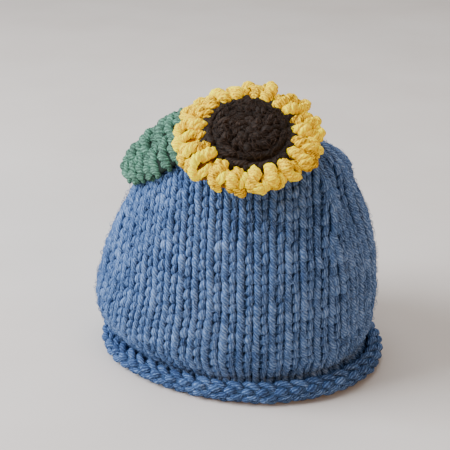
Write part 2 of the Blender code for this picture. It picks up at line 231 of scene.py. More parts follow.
def curve_through(table, count, before=None, after=None):
    """Points at even arc length on a Catmull-Rom curve through the table's rows, guided past its ends by
    the rows before and after, or by mirrored rows."""
    knots = np.asarray(table, float)
    before = 2 * knots[0] - knots[1] if before is None else before
    after = 2 * knots[-1] - knots[-2] if after is None else after
    knots = np.vstack([before, knots, after])
    t = np.linspace(0, 1, 33)[:-1, None]
    dense = [
        0.5 * (2 * b + (c - a) * t + (2 * a - 5 * b + 4 * c - d) * t**2 + (3 * b - a - 3 * c + d) * t**3)
        for a, b, c, d in zip(knots[:-3], knots[1:-2], knots[2:-1], knots[3:])
    ]
    dense = np.vstack(dense + [knots[-2:-1]])
    along = lengths(dense[None])[0]
    wanted = np.linspace(0, along[-1], count)
    return np.stack([np.interp(wanted, along, column) for column in dense.T], axis=1)


def grid_normals(points):
    """Cross product of the steps round and up a grid, rows going up and columns going round with the
    angle."""
    return unit(np.cross(np.gradient(points, axis=1), np.gradient(points, axis=0)))


def on_grid(grid, row, column):
    """Bilinear mix of a grid's four values round each (row, column), both from 0 to 1."""
    rows, columns = grid.shape[0] - 1, grid.shape[1] - 1
    y, x = np.clip(row, 0, 1) * rows, np.clip(column, 0, 1) * columns
    i, j = np.minimum(y.astype(int), rows - 1), np.minimum(x.astype(int), columns - 1)
    y, x = (y - i)[..., None], (x - j)[..., None]
    near, far = (grid[k, j] * (1 - x) + grid[k, j + 1] * x for k in (i, i + 1))
    return near * (1 - y) + far * y


def on_shape(shape, row, column):
    """Point and normal of a shape's two grids at each (row, column), both from 0 to 1."""
    return on_grid(shape["points"], row, column), unit(on_grid(shape["normals"], row, column))


def directions(path, up):
    """The unit vectors ahead, aside and up at each point of each path."""
    ahead = unit(np.gradient(path, axis=1))
    side = unit(np.cross(ahead, up))
    return ahead, side, np.cross(side, ahead)


def yarn(path, up, wide, high, sides, tone, lay=(1.0, 1.0)):
    """Closed lengths of yarn: an oval of half sizes wide and high carried along each path (n, m, 3), its
    high side towards up, and drawn to a point past each end. UV is millimetres along and turns round, each
    times its part of lay."""
    count, steps = path.shape[:2]
    wide, high = (np.broadcast_to(size, (count, steps))[..., None] for size in (wide, high))
    ahead, side, lift = directions(path, up)
    turn = 2 * np.pi * np.arange(sides) / sides
    ring = (
        path[:, :, None]
        + (wide * np.cos(turn))[..., None] * side[:, :, None]
        + (high * np.sin(turn))[..., None] * lift[:, :, None]
    )
    first = path[:, :1] - ahead[:, :1] * high[:, :1] * END_POINT
    last = path[:, -1:] + ahead[:, -1:] * high[:, -1:] * END_POINT
    points = np.concatenate([ring.reshape(count, -1, 3), first, last], axis=1)
    i, j = (a.ravel() for a in np.meshgrid(np.arange(steps - 1), np.arange(sides), indexing="ij"))
    a, b = i * sides + j, i * sides + (j + 1) % sides
    quads = np.stack([a, a + sides, b + sides, b], axis=-1)
    along = lengths(path)
    u = along[:, np.stack([i, i + 1, i + 1, i], axis=-1)]
    v = np.broadcast_to(np.stack([j, j, j + 1, j + 1], axis=-1) / sides, u.shape)
    j, far, tip = np.arange(sides), (steps - 1) * sides, steps * sides
    beside = (j + 1) % sides
    ends = [[0 * j + tip, j, beside], [0 * j + tip + 1, far + beside, far + j]]
    tris = np.concatenate([np.stack(end, axis=-1) for end in ends])
    tri_u = np.repeat(along[:, [0, -1]], sides, axis=1)[..., None] * np.ones(3)
    tri_v = np.concatenate([np.stack([j + 0.5, j, j + 1], -1), np.stack([j + 0.5, j + 1, j], -1)]) / sides
    tri_v = np.broadcast_to(tri_v, tri_u.shape)
    offset = (np.arange(count) * points.shape[1])[:, None, None]
    return {
        "points": points.reshape(-1, 3),
        "quads": (quads[None] + offset).reshape(-1, 4),
        "tris": (tris[None] + offset).reshape(-1, 3),
        "quad_uv": np.stack([u * lay[0], v * lay[1]], axis=-1).reshape(-1, 4, 2),
        "tri_uv": np.stack([tri_u * lay[0], tri_v * lay[1]], axis=-1).reshape(-1, 3, 2),
        "tone": np.repeat(np.asarray(tone, float), points.shape[1]),
    }


def rope(path, up, size, strands, lay_mm, start, tone, sides=7):
    """Thick twisted yarn: each strand winds round the path at about half the rope's half size, once round
    every lay_mm, and is about half as thick as the rope."""
    away, thick = ROPES[strands]
    size = np.broadcast_to(size, path.shape[:2])
    _, side, lift = directions(path, up)
    along = lengths(path)
    parts = []
    for number in range(strands):
        turn = 2 * np.pi * (number / strands + np.asarray(start)[:, None] + along / lay_mm)
        around = np.cos(turn)[..., None] * side + np.sin(turn)[..., None] * lift
        strand = path + away * size[..., None] * around
        parts.append(yarn(strand, up, thick * size, thick * size, sides, tone + 0.4 * np.cos(2.1 * number)))
    return parts


def surface(grid, flip=False, closed=False, uv_scale=(1.0, 1.0)):
    """Quads over a grid of points; closed joins the last column to column 0. UV is column and row times
    uv_scale."""
    rows, columns = grid.shape[:2]
    index = np.arange(rows * columns).reshape(rows, columns)
    if closed:
        index = np.hstack([index, index[:, :1]])
    uv = np.stack(np.meshgrid(np.arange(index.shape[1]), np.arange(rows)), axis=-1) * np.array(uv_scale)

    def corners(values):
        """The four values at the corners of each square of a grid, in order round it."""
        return np.stack([values[:-1, :-1], values[:-1, 1:], values[1:, 1:], values[1:, :-1]], axis=2)

    quads, quad_uv = corners(index).reshape(-1, 4), corners(uv).reshape(-1, 4, 2)
    if flip:
        quads, quad_uv = quads[:, ::-1], quad_uv[:, ::-1]
    return {
        "points": grid.reshape(-1, 3),
        "quads": quads,
        "tris": np.zeros((0, 3), int),
        "quad_uv": quad_uv,
        "tri_uv": np.zeros((0, 3, 2)),
        "tone": np.zeros(rows * columns),
    }


def new_object(name, data):
    """A new object, linked into the scene."""
    obj = bpy.data.objects.new(name, data)
    bpy.context.scene.collection.objects.link(obj)
    return obj


def add_piece(name, parts, material, weld=False):
    """One mesh object from the parts' arrays, in metres and smooth. weld joins points that meet: a quad
    with one collapsed side becomes a triangle, and what collapses further is dropped."""
    first = np.cumsum([0] + [len(p["points"]) for p in parts])[:-1]
    quads, tris = (np.concatenate([p[key] + n for p, n in zip(parts, first)]) for key in ("quads", "tris"))
    points, tone, quad_uv, tri_uv = (
        np.concatenate([p[key] for p in parts]) for key in ("points", "tone", "quad_uv", "tri_uv")
    )
    if weld:
        _, kept, index = np.unique(np.round(points, 4), axis=0, return_index=True, return_inverse=True)
        points, tone, index = points[kept], tone[kept], index.ravel()
        quads, tris = index[quads], index[tris]
        same = quads == np.roll(quads, -1, axis=1)
        merged = same.sum(axis=1)
        corners = np.argsort(same[merged == 1], axis=1, kind="stable")[:, :3]
        corner_uv = np.take_along_axis(quad_uv[merged == 1], corners[..., None], axis=1)
        tris = np.concatenate([tris, np.take_along_axis(quads[merged == 1], corners, axis=1)])
        tri_uv = np.concatenate([tri_uv, corner_uv])
        quads, quad_uv = quads[merged == 0], quad_uv[merged == 0]
        whole = (tris != np.roll(tris, -1, axis=1)).all(axis=1)
        tris, tri_uv = tris[whole], tri_uv[whole]
    loops = np.concatenate([quads.ravel(), tris.ravel()])
    sizes = np.repeat([4, 3], [len(quads), len(tris)])
    uv = np.concatenate([quad_uv.reshape(-1, 2), tri_uv.reshape(-1, 2)])
    mesh = bpy.data.meshes.new(name)
    mesh.vertices.add(len(points))
    mesh.loops.add(len(loops))
    mesh.polygons.add(len(sizes))
    mesh.vertices.foreach_set("co", (points * MM).astype(np.float32).ravel())
    mesh.loops.foreach_set("vertex_index", loops.astype(np.int32))
    mesh.polygons.foreach_set("loop_start", (np.cumsum(sizes) - sizes).astype(np.int32))
    mesh.uv_layers.new(name="yarn").data.foreach_set("uv", uv.astype(np.float32).ravel())
    mesh.attributes.new("tone", "FLOAT", "POINT").data.foreach_set("value", tone.astype(np.float32))
    mesh.update(calc_edges=True)
    mesh.validate()
    mesh.shade_smooth()
    mesh.materials.append(material)
    obj = new_object(name, mesh)
    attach(obj, "root")
    return obj


def by_table(value, table):
    """The second column of a table at a value of its first, on straight lines between the rows."""
    return np.interp(value, *np.array(table, float).T)


def uneven(rng, jitter, *shape):
    """Normal random numbers, times how uneven the work is."""
    return rng.normal(0, 1, shape) * jitter


# ======== the dome's surface ========

OVAL_ANGLE = np.linspace(-np.pi, np.pi, 4001)
OVAL_RATE = np.sqrt(np.sin(OVAL_ANGLE) ** 2 + (OVAL_RATIO * np.cos(OVAL_ANGLE)) ** 2)
OVAL_STEP = (OVAL_RATE[1:] + OVAL_RATE[:-1]) / 2
OVAL_ALONG = np.concatenate([[0], np.cumsum(OVAL_STEP)]) * (OVAL_ANGLE[1] - OVAL_ANGLE[0])


def oval_length(angle):
    """Distance round an oval of half length 1, from -180 degrees to the angle."""
    return np.interp(angle, OVAL_ANGLE, OVAL_ALONG)


def oval_angle(length):
    """The angle at that distance round an oval of half length 1."""
    return np.interp(length, OVAL_ALONG, OVAL_ANGLE)


def wall_rows(count):
    """Height, half length, centre and half depth at even steps from the hem to the crown, and the distance
    up the cloth, from the steps up and inward."""
    rows = curve_through(SECTIONS, count, *SECTION_GUIDES)
    rows[-1] = SECTIONS[-1]
    step = np.diff(rows, axis=0)
    return rows, np.concatenate([[0], np.cumsum(np.hypot(step[:, 0], step[:, 1] * OVAL_MEAN))])


def slit_half_gap(name, z):
    """Half of a slit's gap at each height: a lens whose ends are rounder than its middle; 0 outside the
    slit."""
    _, low, high, ends, middle = SLITS[name]
    lens = np.sin(np.pi * np.clip((z - low) / (high - low), 0, 1))
    return np.where((z > low) & (z < high), np.sqrt(lens) * (ends + (middle - ends) * lens**3), 0)


def half_ends(front, rows):
    """The angles where one half begins and ends at each row, drawn aside where a slit is open."""
    z, size = rows[:, :1], np.maximum(rows[:, 1:2], SLIT_MIN_SIZE)
    spout, handle = slit_half_gap("spout", z) / size, slit_half_gap("handle", z) / size
    return (-np.pi + spout, -handle) if front else (handle, np.pi - spout)


def soft_rise(angle, z, half_x):
    """How far the ridges and hollows lift the cloth: a sum of leaning two-way bell curves, faded out over
    the hem and under the crown."""
    rise = np.zeros_like(angle)
    for degrees, height, half_round, half_up, lean, lift in SOFT_FORMS:
        centre = np.radians(degrees + lean * (z - height))
        away = (angle - centre + np.pi) % (2 * np.pi) - np.pi
        rise += lift * np.exp(-((away * half_x / half_round) ** 2) - ((z - height) / half_up) ** 2)
    return rise * np.clip((z - 6) / 6, 0, 1) * np.clip((114 - z) / 8, 0, 1)


def worn_wall(angle, rows):
    """The middle of the cloth on the dome: an oval at each height, lifted along its normal by the soft
    forms."""
    z, half_x, centre, half_y = (rows[:, i : i + 1] for i in range(4))
    wall = np.stack([centre + half_x * np.cos(angle), half_y * np.sin(angle), z + 0 * angle], axis=2)
    return wall + grid_normals(wall) * soft_rise(angle, z, np.maximum(half_x, 4))[..., None]


def capped_normals(points):
    """A grid's normals, with its last row, the crown, facing straight up."""
    normals = grid_normals(points)
    normals[-1] = (0, 0, 1)
    return normals


def roll_at(angle, turn, height):
    """A point of the hem's roll: turn is 0 at its outward side and 90 degrees on top; height is over the
    cloth's middle. The roll is a circle on the outside of the lowest oval, and swells and thins a little in
    waves round it."""
    z, half_x, centre, half_y = SECTIONS[0]
    swell = sum(size * np.sin(waves * angle + np.radians(phase)) for waves, size, phase in HEM_SWELL)
    radius = ROLL_MID_RADIUS + swell * (1 + np.cos(turn)) / 2
    flat = unit(np.stack([np.cos(angle) / half_x, np.sin(angle) / half_y], axis=-1))
    out = radius + (radius + height) * np.cos(turn)
    x = centre + half_x * np.cos(angle) + out * flat[..., 0]
    y = half_y * np.sin(angle) + out * flat[..., 1]
    return np.stack([x, y, z + (radius + height) * np.sin(turn) + 0 * angle], axis=-1)


def half_cloth(front):
    """One half of the dome as a fine grid of points and normals. For each row it also has its height, half
    length, first and last angle and length round, and how far round it the upright column and the two lines
    of shaping lie."""
    rows, up = wall_rows(281)
    z, half_x, centre, half_y = rows.T
    low, high = half_ends(front, rows)
    wall = worn_wall(low + (high - low) * np.linspace(0, 1, 181), rows)
    low, high, size = low.ravel(), high.ravel(), np.maximum(half_x, 0.01)

    def round_to(angle):
        """Distance round each row from the half's first edge to the angle, along an oval of the row's
        size."""
        return size * (oval_length(angle) - oval_length(low))

    lines = (np.radians(degrees + lean * (z - SHAPING_LINES_Z)) for degrees, lean in SHAPING_LINES[front])
    first, second = (round_to(line) for line in lines)
    turn = np.radians(UPRIGHT_FACES_DEG)
    across, deep = size * np.cos(turn), half_y * np.sin(turn)
    aside = (UPRIGHT_ASIDE[front] - centre * np.cos(turn)) / np.maximum(np.hypot(across, deep), 0.01)
    upright = np.arctan2(deep, across) + (-1 if front else 1) * np.arccos(np.clip(aside, -1, 1))
    return {
        "points": wall,
        "normals": capped_normals(wall),
        "up": up,
        "z": z,
        "size": size,
        "low": low,
        "high": high,
        "length": round_to(high),
        "first": first,
        "second": second,
        "upright": round_to(np.clip(upright, low, high)),
        "start": np.interp(SHAPING_FROM_Z, z, up),
    }


def measures(half, up, *names):
    """The named measures of a half at a distance up its cloth."""
    return [np.interp(up, half["up"], half[name]) for name in names]


def on_cloth(half, up, along):
    """Point and normal of the cloth at a distance up it and a distance round it from the half's first
    edge."""
    size, low, high = measures(half, up, "size", "low", "high")
    angle = oval_angle(oval_length(low) + along / size)
    row = np.interp(up, half["up"], np.linspace(0, 1, len(half["up"])))
    return on_shape(half, row, (angle - low) / (high - low))


def shaping_start(half, columns):
    """Where the shaping begins: the row's length, the columns' width, and how many columns lie before the
    upright column and before each line of shaping."""
    length, *places = measures(half, half["start"], "length", "upright", "first", "second")
    width = length / columns
    return length, width, *(place / width for place in places)


def column_place(half, columns, column, up):
    """Distance round to the middle of each column, and the columns' width. All spread from the upright
    column. Below the shaping they share the row evenly on each side of it. Above the shaping they narrow
    more slowly than the row does, and those by each edge follow that edge."""
    length, upright = measures(half, up, "length", "upright")
    start_length, start_width, split, first, second = shaping_start(half, columns)
    middle = column + 0.5
    width = start_width * np.minimum(length / start_length, 1) ** SHAPING_NARROWS
    far = length - (columns - middle) * width
    between = upright + (middle - split) * width
    above = np.where(middle < first, middle * width, np.where(middle > second, far, between))
    far = length - (columns - middle) * (length - upright) / (columns - split)
    below = np.where(middle < split, middle * upright / split, far)
    shaped = up > half["start"]
    return np.where(shaped, above, below), np.where(shaped, width, length / columns)


def worked(half, columns, column, up):
    """Whether a column still has a stitch, as it hasn't yet met the line where stitches are lost, and how
    near that line is, from 0 to 1, because the stitches that are worked together there stand a little
    proud."""
    place, width = column_place(half, columns, column, up)
    line_one, line_two = measures(half, up, "first", "second")
    *_, first, second = shaping_start(half, columns)
    middle = column + 0.5
    room = np.where(middle > second, place - line_two, np.minimum(place - line_one, line_two - place))
    room = np.where(middle < first, line_one - place, room)
    near = np.clip(1 - np.abs(room / width - 0.1), 0, 1)
    shaped = up > half["start"]
    return ~shaped | (room > -0.45 * width), np.where(shaped, near, 0)


# ======== materials ========


def linear(hex_colour):
    """The linear value of an sRGB hex colour."""
    part = np.array([int(hex_colour[i : i + 2], 16) for i in (0, 2, 4)]) / 255
    value = np.where(part <= 0.04045, part / 12.92, ((part + 0.055) / 1.055) ** 2.4)
    return tuple(float(v) for v in value) + (1.0,)


def hex_of(colour):
    """The sRGB hex of a colour property."""
    return "".join(f"{int(round(255 * c)):02x}" for c in colour)


def scaled(hex_colour, factor):
    """A hex colour made lighter or darker by a factor."""
    return "".join(f"{min(255, int(int(hex_colour[i : i + 2], 16) * factor)):02x}" for i in (0, 2, 4))


def add_node(tree, kind, inputs=None, output=0, stops=(), **settings):
    """Adds one shader node and returns one of its outputs. inputs are its sockets' values or what feeds
    them, settings are its own properties, and stops are a ramp's places and sRGB hex colours, its two ends
    first."""
    node = tree.nodes.new("ShaderNode" + kind)
    for key, value in settings.items():
        setattr(node, key, value)
    for key, value in (inputs or {}).items():
        if isinstance(value, bpy.types.NodeSocket):
            tree.links.new(value, node.inputs[key])
        else:
            node.inputs[key].default_value = value
    for number, (place, colour) in enumerate(stops):
        ends = node.color_ramp.elements
        stop = ends[number] if number < 2 else ends.new(place)
        stop.position, stop.color = place, linear(colour)
    return node.outputs[output]


def new_material(name, roughness, sheen, colour):
    """A new node material: its tree and the inputs of its Principled shader, which has a sheen of the
    colour."""
    material = bpy.data.materials.new(name)
    material.use_nodes = True
    inputs = next(n for n in material.node_tree.nodes if n.type == "BSDF_PRINCIPLED").inputs
    # Fibres scatter light: a broad sheen and hardly any gloss.
    settings = {
        "Roughness": roughness,
        "Sheen Weight": sheen,
        "Sheen Roughness": 0.45,
        "Sheen Tint": linear(colour),
        "Specular IOR Level": 0.15,
    }
    for key, value in settings.items():
        inputs[key].default_value = value
    return material, material.node_tree, inputs


YARNS = {
    # material: (the user's colour, light, middle and dark, each an sRGB hex or a part of that colour,
    #            ply_mm, plies, groove, blotch, sheen)
    # Light is partly a painted highlight on the plies' crests. Dark is partly painted shade, in the plies'
    # grooves and where a piece's tone is lowered as shade. Groove is how strongly the plies' painted shade
    # and highlight show.
    "aran_wool_blue": ("blue", "7995c0", 1.0, "20345a", 1.6, 6.0, 0.6, 0.75, 0.12),
    "crochet_cotton_yellow": ("yellow", "fff800", 1.0, "84560a", 1.5, 5.0, 0.42, 1.3, 0.02),
    # This inside yarn is darker orange: painted shade where it shows between the petals' knobs.
    "crochet_cotton_yellow_inside_painted_shade": ("yellow", "d29200", "b87600", "784200", 1.6, 5.0, 0.4, 0.6, 0.02),
    "crochet_wool_brown": ("brown", 1.9, 1.0, 0.6, 1.6, 6.0, 0.3, 0.6, 0.1),
    "crochet_wool_green": ("green", 1.45, 1.0, 0.33, 1.6, 5.0, 0.55, 0.8, 0.12),
    # This inside yarn is dark green: painted shade where it shows between the leaf's ribs.
    "crochet_wool_green_inside_painted_shade": ("green", 0.5, 0.36, 0.2, 1.5, 6.0, 0.4, 0.6, 0.12),
}


def spun_yarn(name):
    """Plied wool-blend or cotton yarn, spun and matte, by the table of yarns. The eye sees slanting plies,
    each a painted soft highlight beside a groove of painted shade that fades in and out, blotches where the
    fibres stand up, and a slight change of colour from stitch to stitch."""
    if name in bpy.data.materials:
        return bpy.data.materials[name]
    colour, *shades, ply_mm, plies, groove, blotch, sheen = YARNS[name]
    colour = hex_of(getattr(bpy.context.scene.cosy_colours, colour))
    light, mid, dark = (part if isinstance(part, str) else scaled(colour, part) for part in shades)
    material, tree, shader = new_material(name, 0.7, sheen, light)
    uv = add_node(tree, "SeparateXYZ", {0: add_node(tree, "UVMap", uv_map="yarn")}).node.outputs
    place = add_node(tree, "TexCoord", output="Object")
    tone = add_node(tree, "Attribute", output="Fac", attribute_name="tone")
    # Hand-knit yarn wanders every 2 mm and fluffs up every 1.6 mm, and its dye and wear vary over 16 mm.
    # Its fibres are about 0.02 mm; they are drawn at 0.6 mm, the finest that still shows.
    wander, fluff, wear, fibre = (
        add_node(tree, "TexNoise", {"Vector": place, "Scale": scale, "Detail": detail})
        for scale, detail in ((420.0, 1.0), (620.0, 2.0), (60.0, 2.0), (1700.0, 1.0))
    )
    # One ply passes every ply_mm along the yarn; the plies go once round in plies times that. Real plies
    # are 0.7 mm apart; they are drawn at about 1.1 mm, the finest that still shows.
    along = add_node(tree, "Math", {0: uv["X"], 1: ply_mm}, operation="DIVIDE")
    phase = add_node(tree, "Math", {0: uv["Y"], 1: plies}, operation="MULTIPLY")
    phase = add_node(tree, "Math", {0: phase, 1: along}, operation="SUBTRACT")
    phase = add_node(tree, "Math", {0: wander, 1: 1.2, 2: phase}, operation="MULTIPLY_ADD")
    wave = add_node(tree, "Math", {0: phase, 1: 2 * np.pi}, operation="MULTIPLY")
    wave = add_node(tree, "Math", {0: wave}, operation="SINE")
    fade = add_node(tree, "MapRange", {0: fluff, 1: 0.35, 2: 0.65, 3: 0.15, 4: 0.6})
    ply = add_node(tree, "Math", {0: wave, 1: fade}, operation="MULTIPLY")
    # Shade from 0 to 1: the ply's groove and crest, drawn as painted shade and painted highlight, the fibres,
    # the blotches, the wear and the stitch's own tone, which some pieces lower as painted shade.
    shade = add_node(tree, "Math", {0: ply, 1: groove, 2: 0.5}, operation="MULTIPLY_ADD")
    for source, size in ((fibre, 0.5), (fluff, blotch), (wear, 0.35)):
        centred = add_node(tree, "Math", {0: source, 1: 0.5}, operation="SUBTRACT")
        shade = add_node(tree, "Math", {0: centred, 1: size, 2: shade}, operation="MULTIPLY_ADD")
    shade = add_node(tree, "Math", {0: tone, 1: 0.06, 2: shade}, operation="MULTIPLY_ADD")
    colours = add_node(tree, "ValToRGB", {0: shade}, stops=((0.08, dark), (0.92, light), (0.5, mid)))
    height = add_node(tree, "Math", {0: fibre, 1: 0.4, 2: ply}, operation="MULTIPLY_ADD")
    bump = add_node(tree, "Bump", {"Height": height, "Strength": 0.5, "Distance": 0.0005})
    tree.links.new(colours, shader["Base Color"])
    tree.links.new(bump, shader["Normal"])
    return material


def purl_cloth(name, light, dark):
    """The back of a knitted cloth, matte and in shadow between the stitches. The eye sees rows of small
    purl bumps. Its colour follows the bumps' height and the fibres, so the hollows between the bumps get
    painted shade."""
    material, tree, shader = new_material(name, 0.95, 0.2, light)
    uv = add_node(tree, "SeparateXYZ", {0: add_node(tree, "UVMap", uv_map="yarn")}).node.outputs
    place = add_node(tree, "TexCoord", output="Object")
    # One bump for each stitch across and for each half row up, as UV counts stitches and rows.
    across = add_node(tree, "Math", {0: uv["X"], 1: 2 * np.pi}, operation="MULTIPLY")
    across = add_node(tree, "Math", {0: across}, operation="SINE")
    rise = add_node(tree, "Math", {0: across, 1: 0.16, 2: uv["Y"]}, operation="MULTIPLY_ADD")
    rise = add_node(tree, "Math", {0: rise, 1: 4 * np.pi}, operation="MULTIPLY")
    rise = add_node(tree, "Math", {0: rise}, operation="SINE")
    bumps = add_node(tree, "MapRange", {0: rise, 1: -1.0, 2: 1.0})
    fibre = add_node(tree, "TexNoise", {"Vector": place, "Scale": 1600.0, "Detail": 3.0})
    shade = add_node(tree, "Math", {0: fibre, 1: 0.7, 2: bumps}, operation="MULTIPLY_ADD")
    # Painted shade: the hollows between the bumps are drawn towards the dark colour.
    colours = add_node(tree, "ValToRGB", {0: shade}, stops=((0.2, dark), (1.3 / 1.4, light)))
    bump = add_node(tree, "Bump", {"Height": shade, "Strength": 0.9, "Distance": 0.0009})
    tree.links.new(colours, shader["Base Color"])
    tree.links.new(bump, shader["Normal"])
    return material


def matt_board(name, light, dark):
    """Painted studio board, rolled and matt. The eye sees an even pale ground with a very faint mottle."""
    material, tree, shader = new_material(name, 0.7, 0.0, light)
    place = add_node(tree, "TexCoord", output="Object")
    mottle = add_node(tree, "TexNoise", {"Vector": place, "Scale": 9.0, "Detail": 4.0})
    colours = add_node(tree, "ValToRGB", {0: mottle}, stops=((0.3, dark), (0.7, light)))
    tree.links.new(colours, shader["Base Color"])
    return material


# ======== the knitted shell ========


def cloth_sheet():
    """The closed sheet behind the stitches: its two faces are offsets of the dome's and the roll's middle
    along the normal, with rounded rims at the cast-on edge and the slits. Where a slit is shut the two
    halves are averaged."""
    columns, roll_steps = 60, 18
    rows, up = wall_rows(61)
    roll = np.radians(np.linspace(ROLL_END_DEG, -180, roll_steps + 1))[:-1, None]
    gaps = {name: np.concatenate([np.zeros(roll_steps), slit_half_gap(name, rows[:, 0])]) for name in SLITS}
    # Offsets of the inward face (the purl side, outermost on the roll) and of the outward face.
    place = np.arange(roll_steps + len(rows)) - roll_steps
    inner = -by_table(place, [(-4, 0.1), (0, 1.0), (2, HALF_CLOTH)])
    outer = by_table(place, [(-4, HALF_CLOTH * 0.1), (0, -0.2), (2, -0.5)])
    halves = {}
    for front in (True, False):
        low, high = half_ends(front, rows)
        angle = low + (high - low) * np.linspace(0, 1, columns + 1)
        step = angle[:, 1:2] - angle[:, :1]
        angle = np.hstack([angle[:, :1] - step, angle, angle[:, -1:] + step])
        hem = roll_at(np.repeat(angle[:1], roll_steps, axis=0), roll, 0.0)
        middle = np.vstack([hem, worn_wall(angle, rows)])
        normal = capped_normals(middle)
        faces = []
        for offset in (inner, outer):
            face = middle + normal * offset[:, None, None]
            face[-1, :, :2] = 0
            face[:, :, 2] = np.maximum(face[:, :, 2], 0)
            faces.append(face[:, 1:-1])
        halves[front] = faces
    for name, front_column, back_column in (("spout", 0, -1), ("handle", -1, 0)):
        shut = gaps[name] == 0
        for one, two in zip(halves[True], halves[False]):
            seam = (one[shut, front_column] + two[shut, back_column]) / 2
            one[shut, front_column] = two[shut, back_column] = seam
    parts = []
    scale = (0.5, up[-1] / len(rows) / ROW_MM)
    for front, (inward, outward) in halves.items():
        parts += [surface(outward, uv_scale=scale), surface(inward, True, uv_scale=scale)]
        tip = unit(inward[0] - inward[1]) * 0.5
        parts.append(surface(np.stack([inward[0], (inward[0] + outward[0]) / 2 + tip, outward[0]])))
        for column, beside, flip in ((0, 1, False), (-1, -2, True)):
            gap = gaps["spout" if (column == 0) == front else "handle"]
            away = unit(outward[:, column] - outward[:, beside])
            open_rows = np.flatnonzero(gap > 0)
            span = slice(open_rows[0] - 1, open_rows[-1] + 2)
            one, two = inward[:, column], outward[:, column]
            bulge = away * (0.5 * np.minimum(gap / 2, 1))[:, None]
            parts.append(surface(np.stack([one, (one + two) / 2 + bulge, two], axis=1)[span], flip))
    return parts


def knit_half(front, columns, row_mm, jitter, seed):
    """Every stitch of one half: both legs' tables carried to each column and row of the cloth. Each column
    wavers a little as it goes up, by noise averaged over five rows, and each stitch has its own height,
    size and tone."""
    half, rng = half_cloth(front), np.random.default_rng(seed)
    rows = np.arange(FIRST_ROW, half["up"][-1] - LAST_ROW, row_mm)
    waver = uneven(rng, 1, len(rows) + 4, columns, 2)
    waver = sum(share * waver[i : i + len(rows)] for i, share in enumerate(WAVER))
    row, column = (a.ravel() for a in np.meshgrid(np.arange(len(rows)), np.arange(columns), indexing="ij"))
    keep, seam = worked(half, columns, column, rows[row])
    row, column, seam = row[keep], column[keep], seam[keep]
    waver, stitch = waver[row, column] * jitter, uneven(rng, jitter, len(row), 3)
    parts = []
    for table, lay in ((RIGHT_LEG, (1.0, 1.0)), (LEFT_LEG, (0.65, 1.0))):
        leg = curve_through(table, 8)
        own = uneven(rng, jitter, len(row), 3)
        rise = leg[:, 1] + STRAY_UP[0] * waver[:, :1] + STRAY_UP[1] * own[:, :1]
        at = rows[row][:, None] + rise * row_mm
        place, width = column_place(half, columns, column[:, None], at)
        across = leg[:, 0] + STRAY_ACROSS[0] * waver[:, 1:] + STRAY_ACROSS[1] * own[:, 1:2]
        point, normal = on_cloth(half, at, place + across * width)
        lift = STRAY_LIFT[0] * stitch[:, :1] + STRAY_LIFT[1] * own[:, 1:2] + STRAY_LIFT[2] * seam[:, None]
        path = point + normal * (leg[:, 2] + lift)[..., None]
        size = (LEG_SIZE[0] + LEG_SIZE[1] * own[:, 2:]) * width / STITCH_MM
        tone = stitch[:, 1] + 0.6 * own[:, 2]
        parts.append(yarn(path, normal, leg[:, 3] * size, leg[:, 4] * size**0.5, 7, tone, lay))
    return parts


HEM_PAINTED_SHADE = 3.0  # painted shade: the whole roll is drawn darker, in steps of the yarn's tone
HEM_FLAT = 0.82  # a bump's height over its width
HEM_ROWS = [
    # turn_deg, half_long (columns), half_wide, middle_up (mm), ends_down (mm), over
    (31.0, 0.42, 1.68, 0.10, 2.4, 0.80),
    (0.0, 0.46, 1.34, -0.75, 1.7, 0.55),
    (-31.0, 0.44, 1.40, 0.50, 1.9, 0.60),
    (-62.0, 0.46, 1.30, -0.50, 1.8, 0.45),
    (-93.0, 0.46, 1.30, 0.40, 1.8, 0.20),
    (-124.0, 0.46, 1.30, -0.40, 1.8, 0.45),
    (-155.0, 0.46, 1.30, 0.40, 1.8, 0.45),
]
# The strands over them: share of a strand's length, from the wall down, and its height or its half size
# there.
HEM_STRAND_HEIGHT = [(0, -0.3), (0.2, 0.45), (0.6, 0.75), (0.85, 0.2), (1, -0.9)]
HEM_STRAND_SIZE = [(0, 1.0), (0.2, 1.5), (0.65, 1.62), (0.9, 1.2), (1, 0.6)]


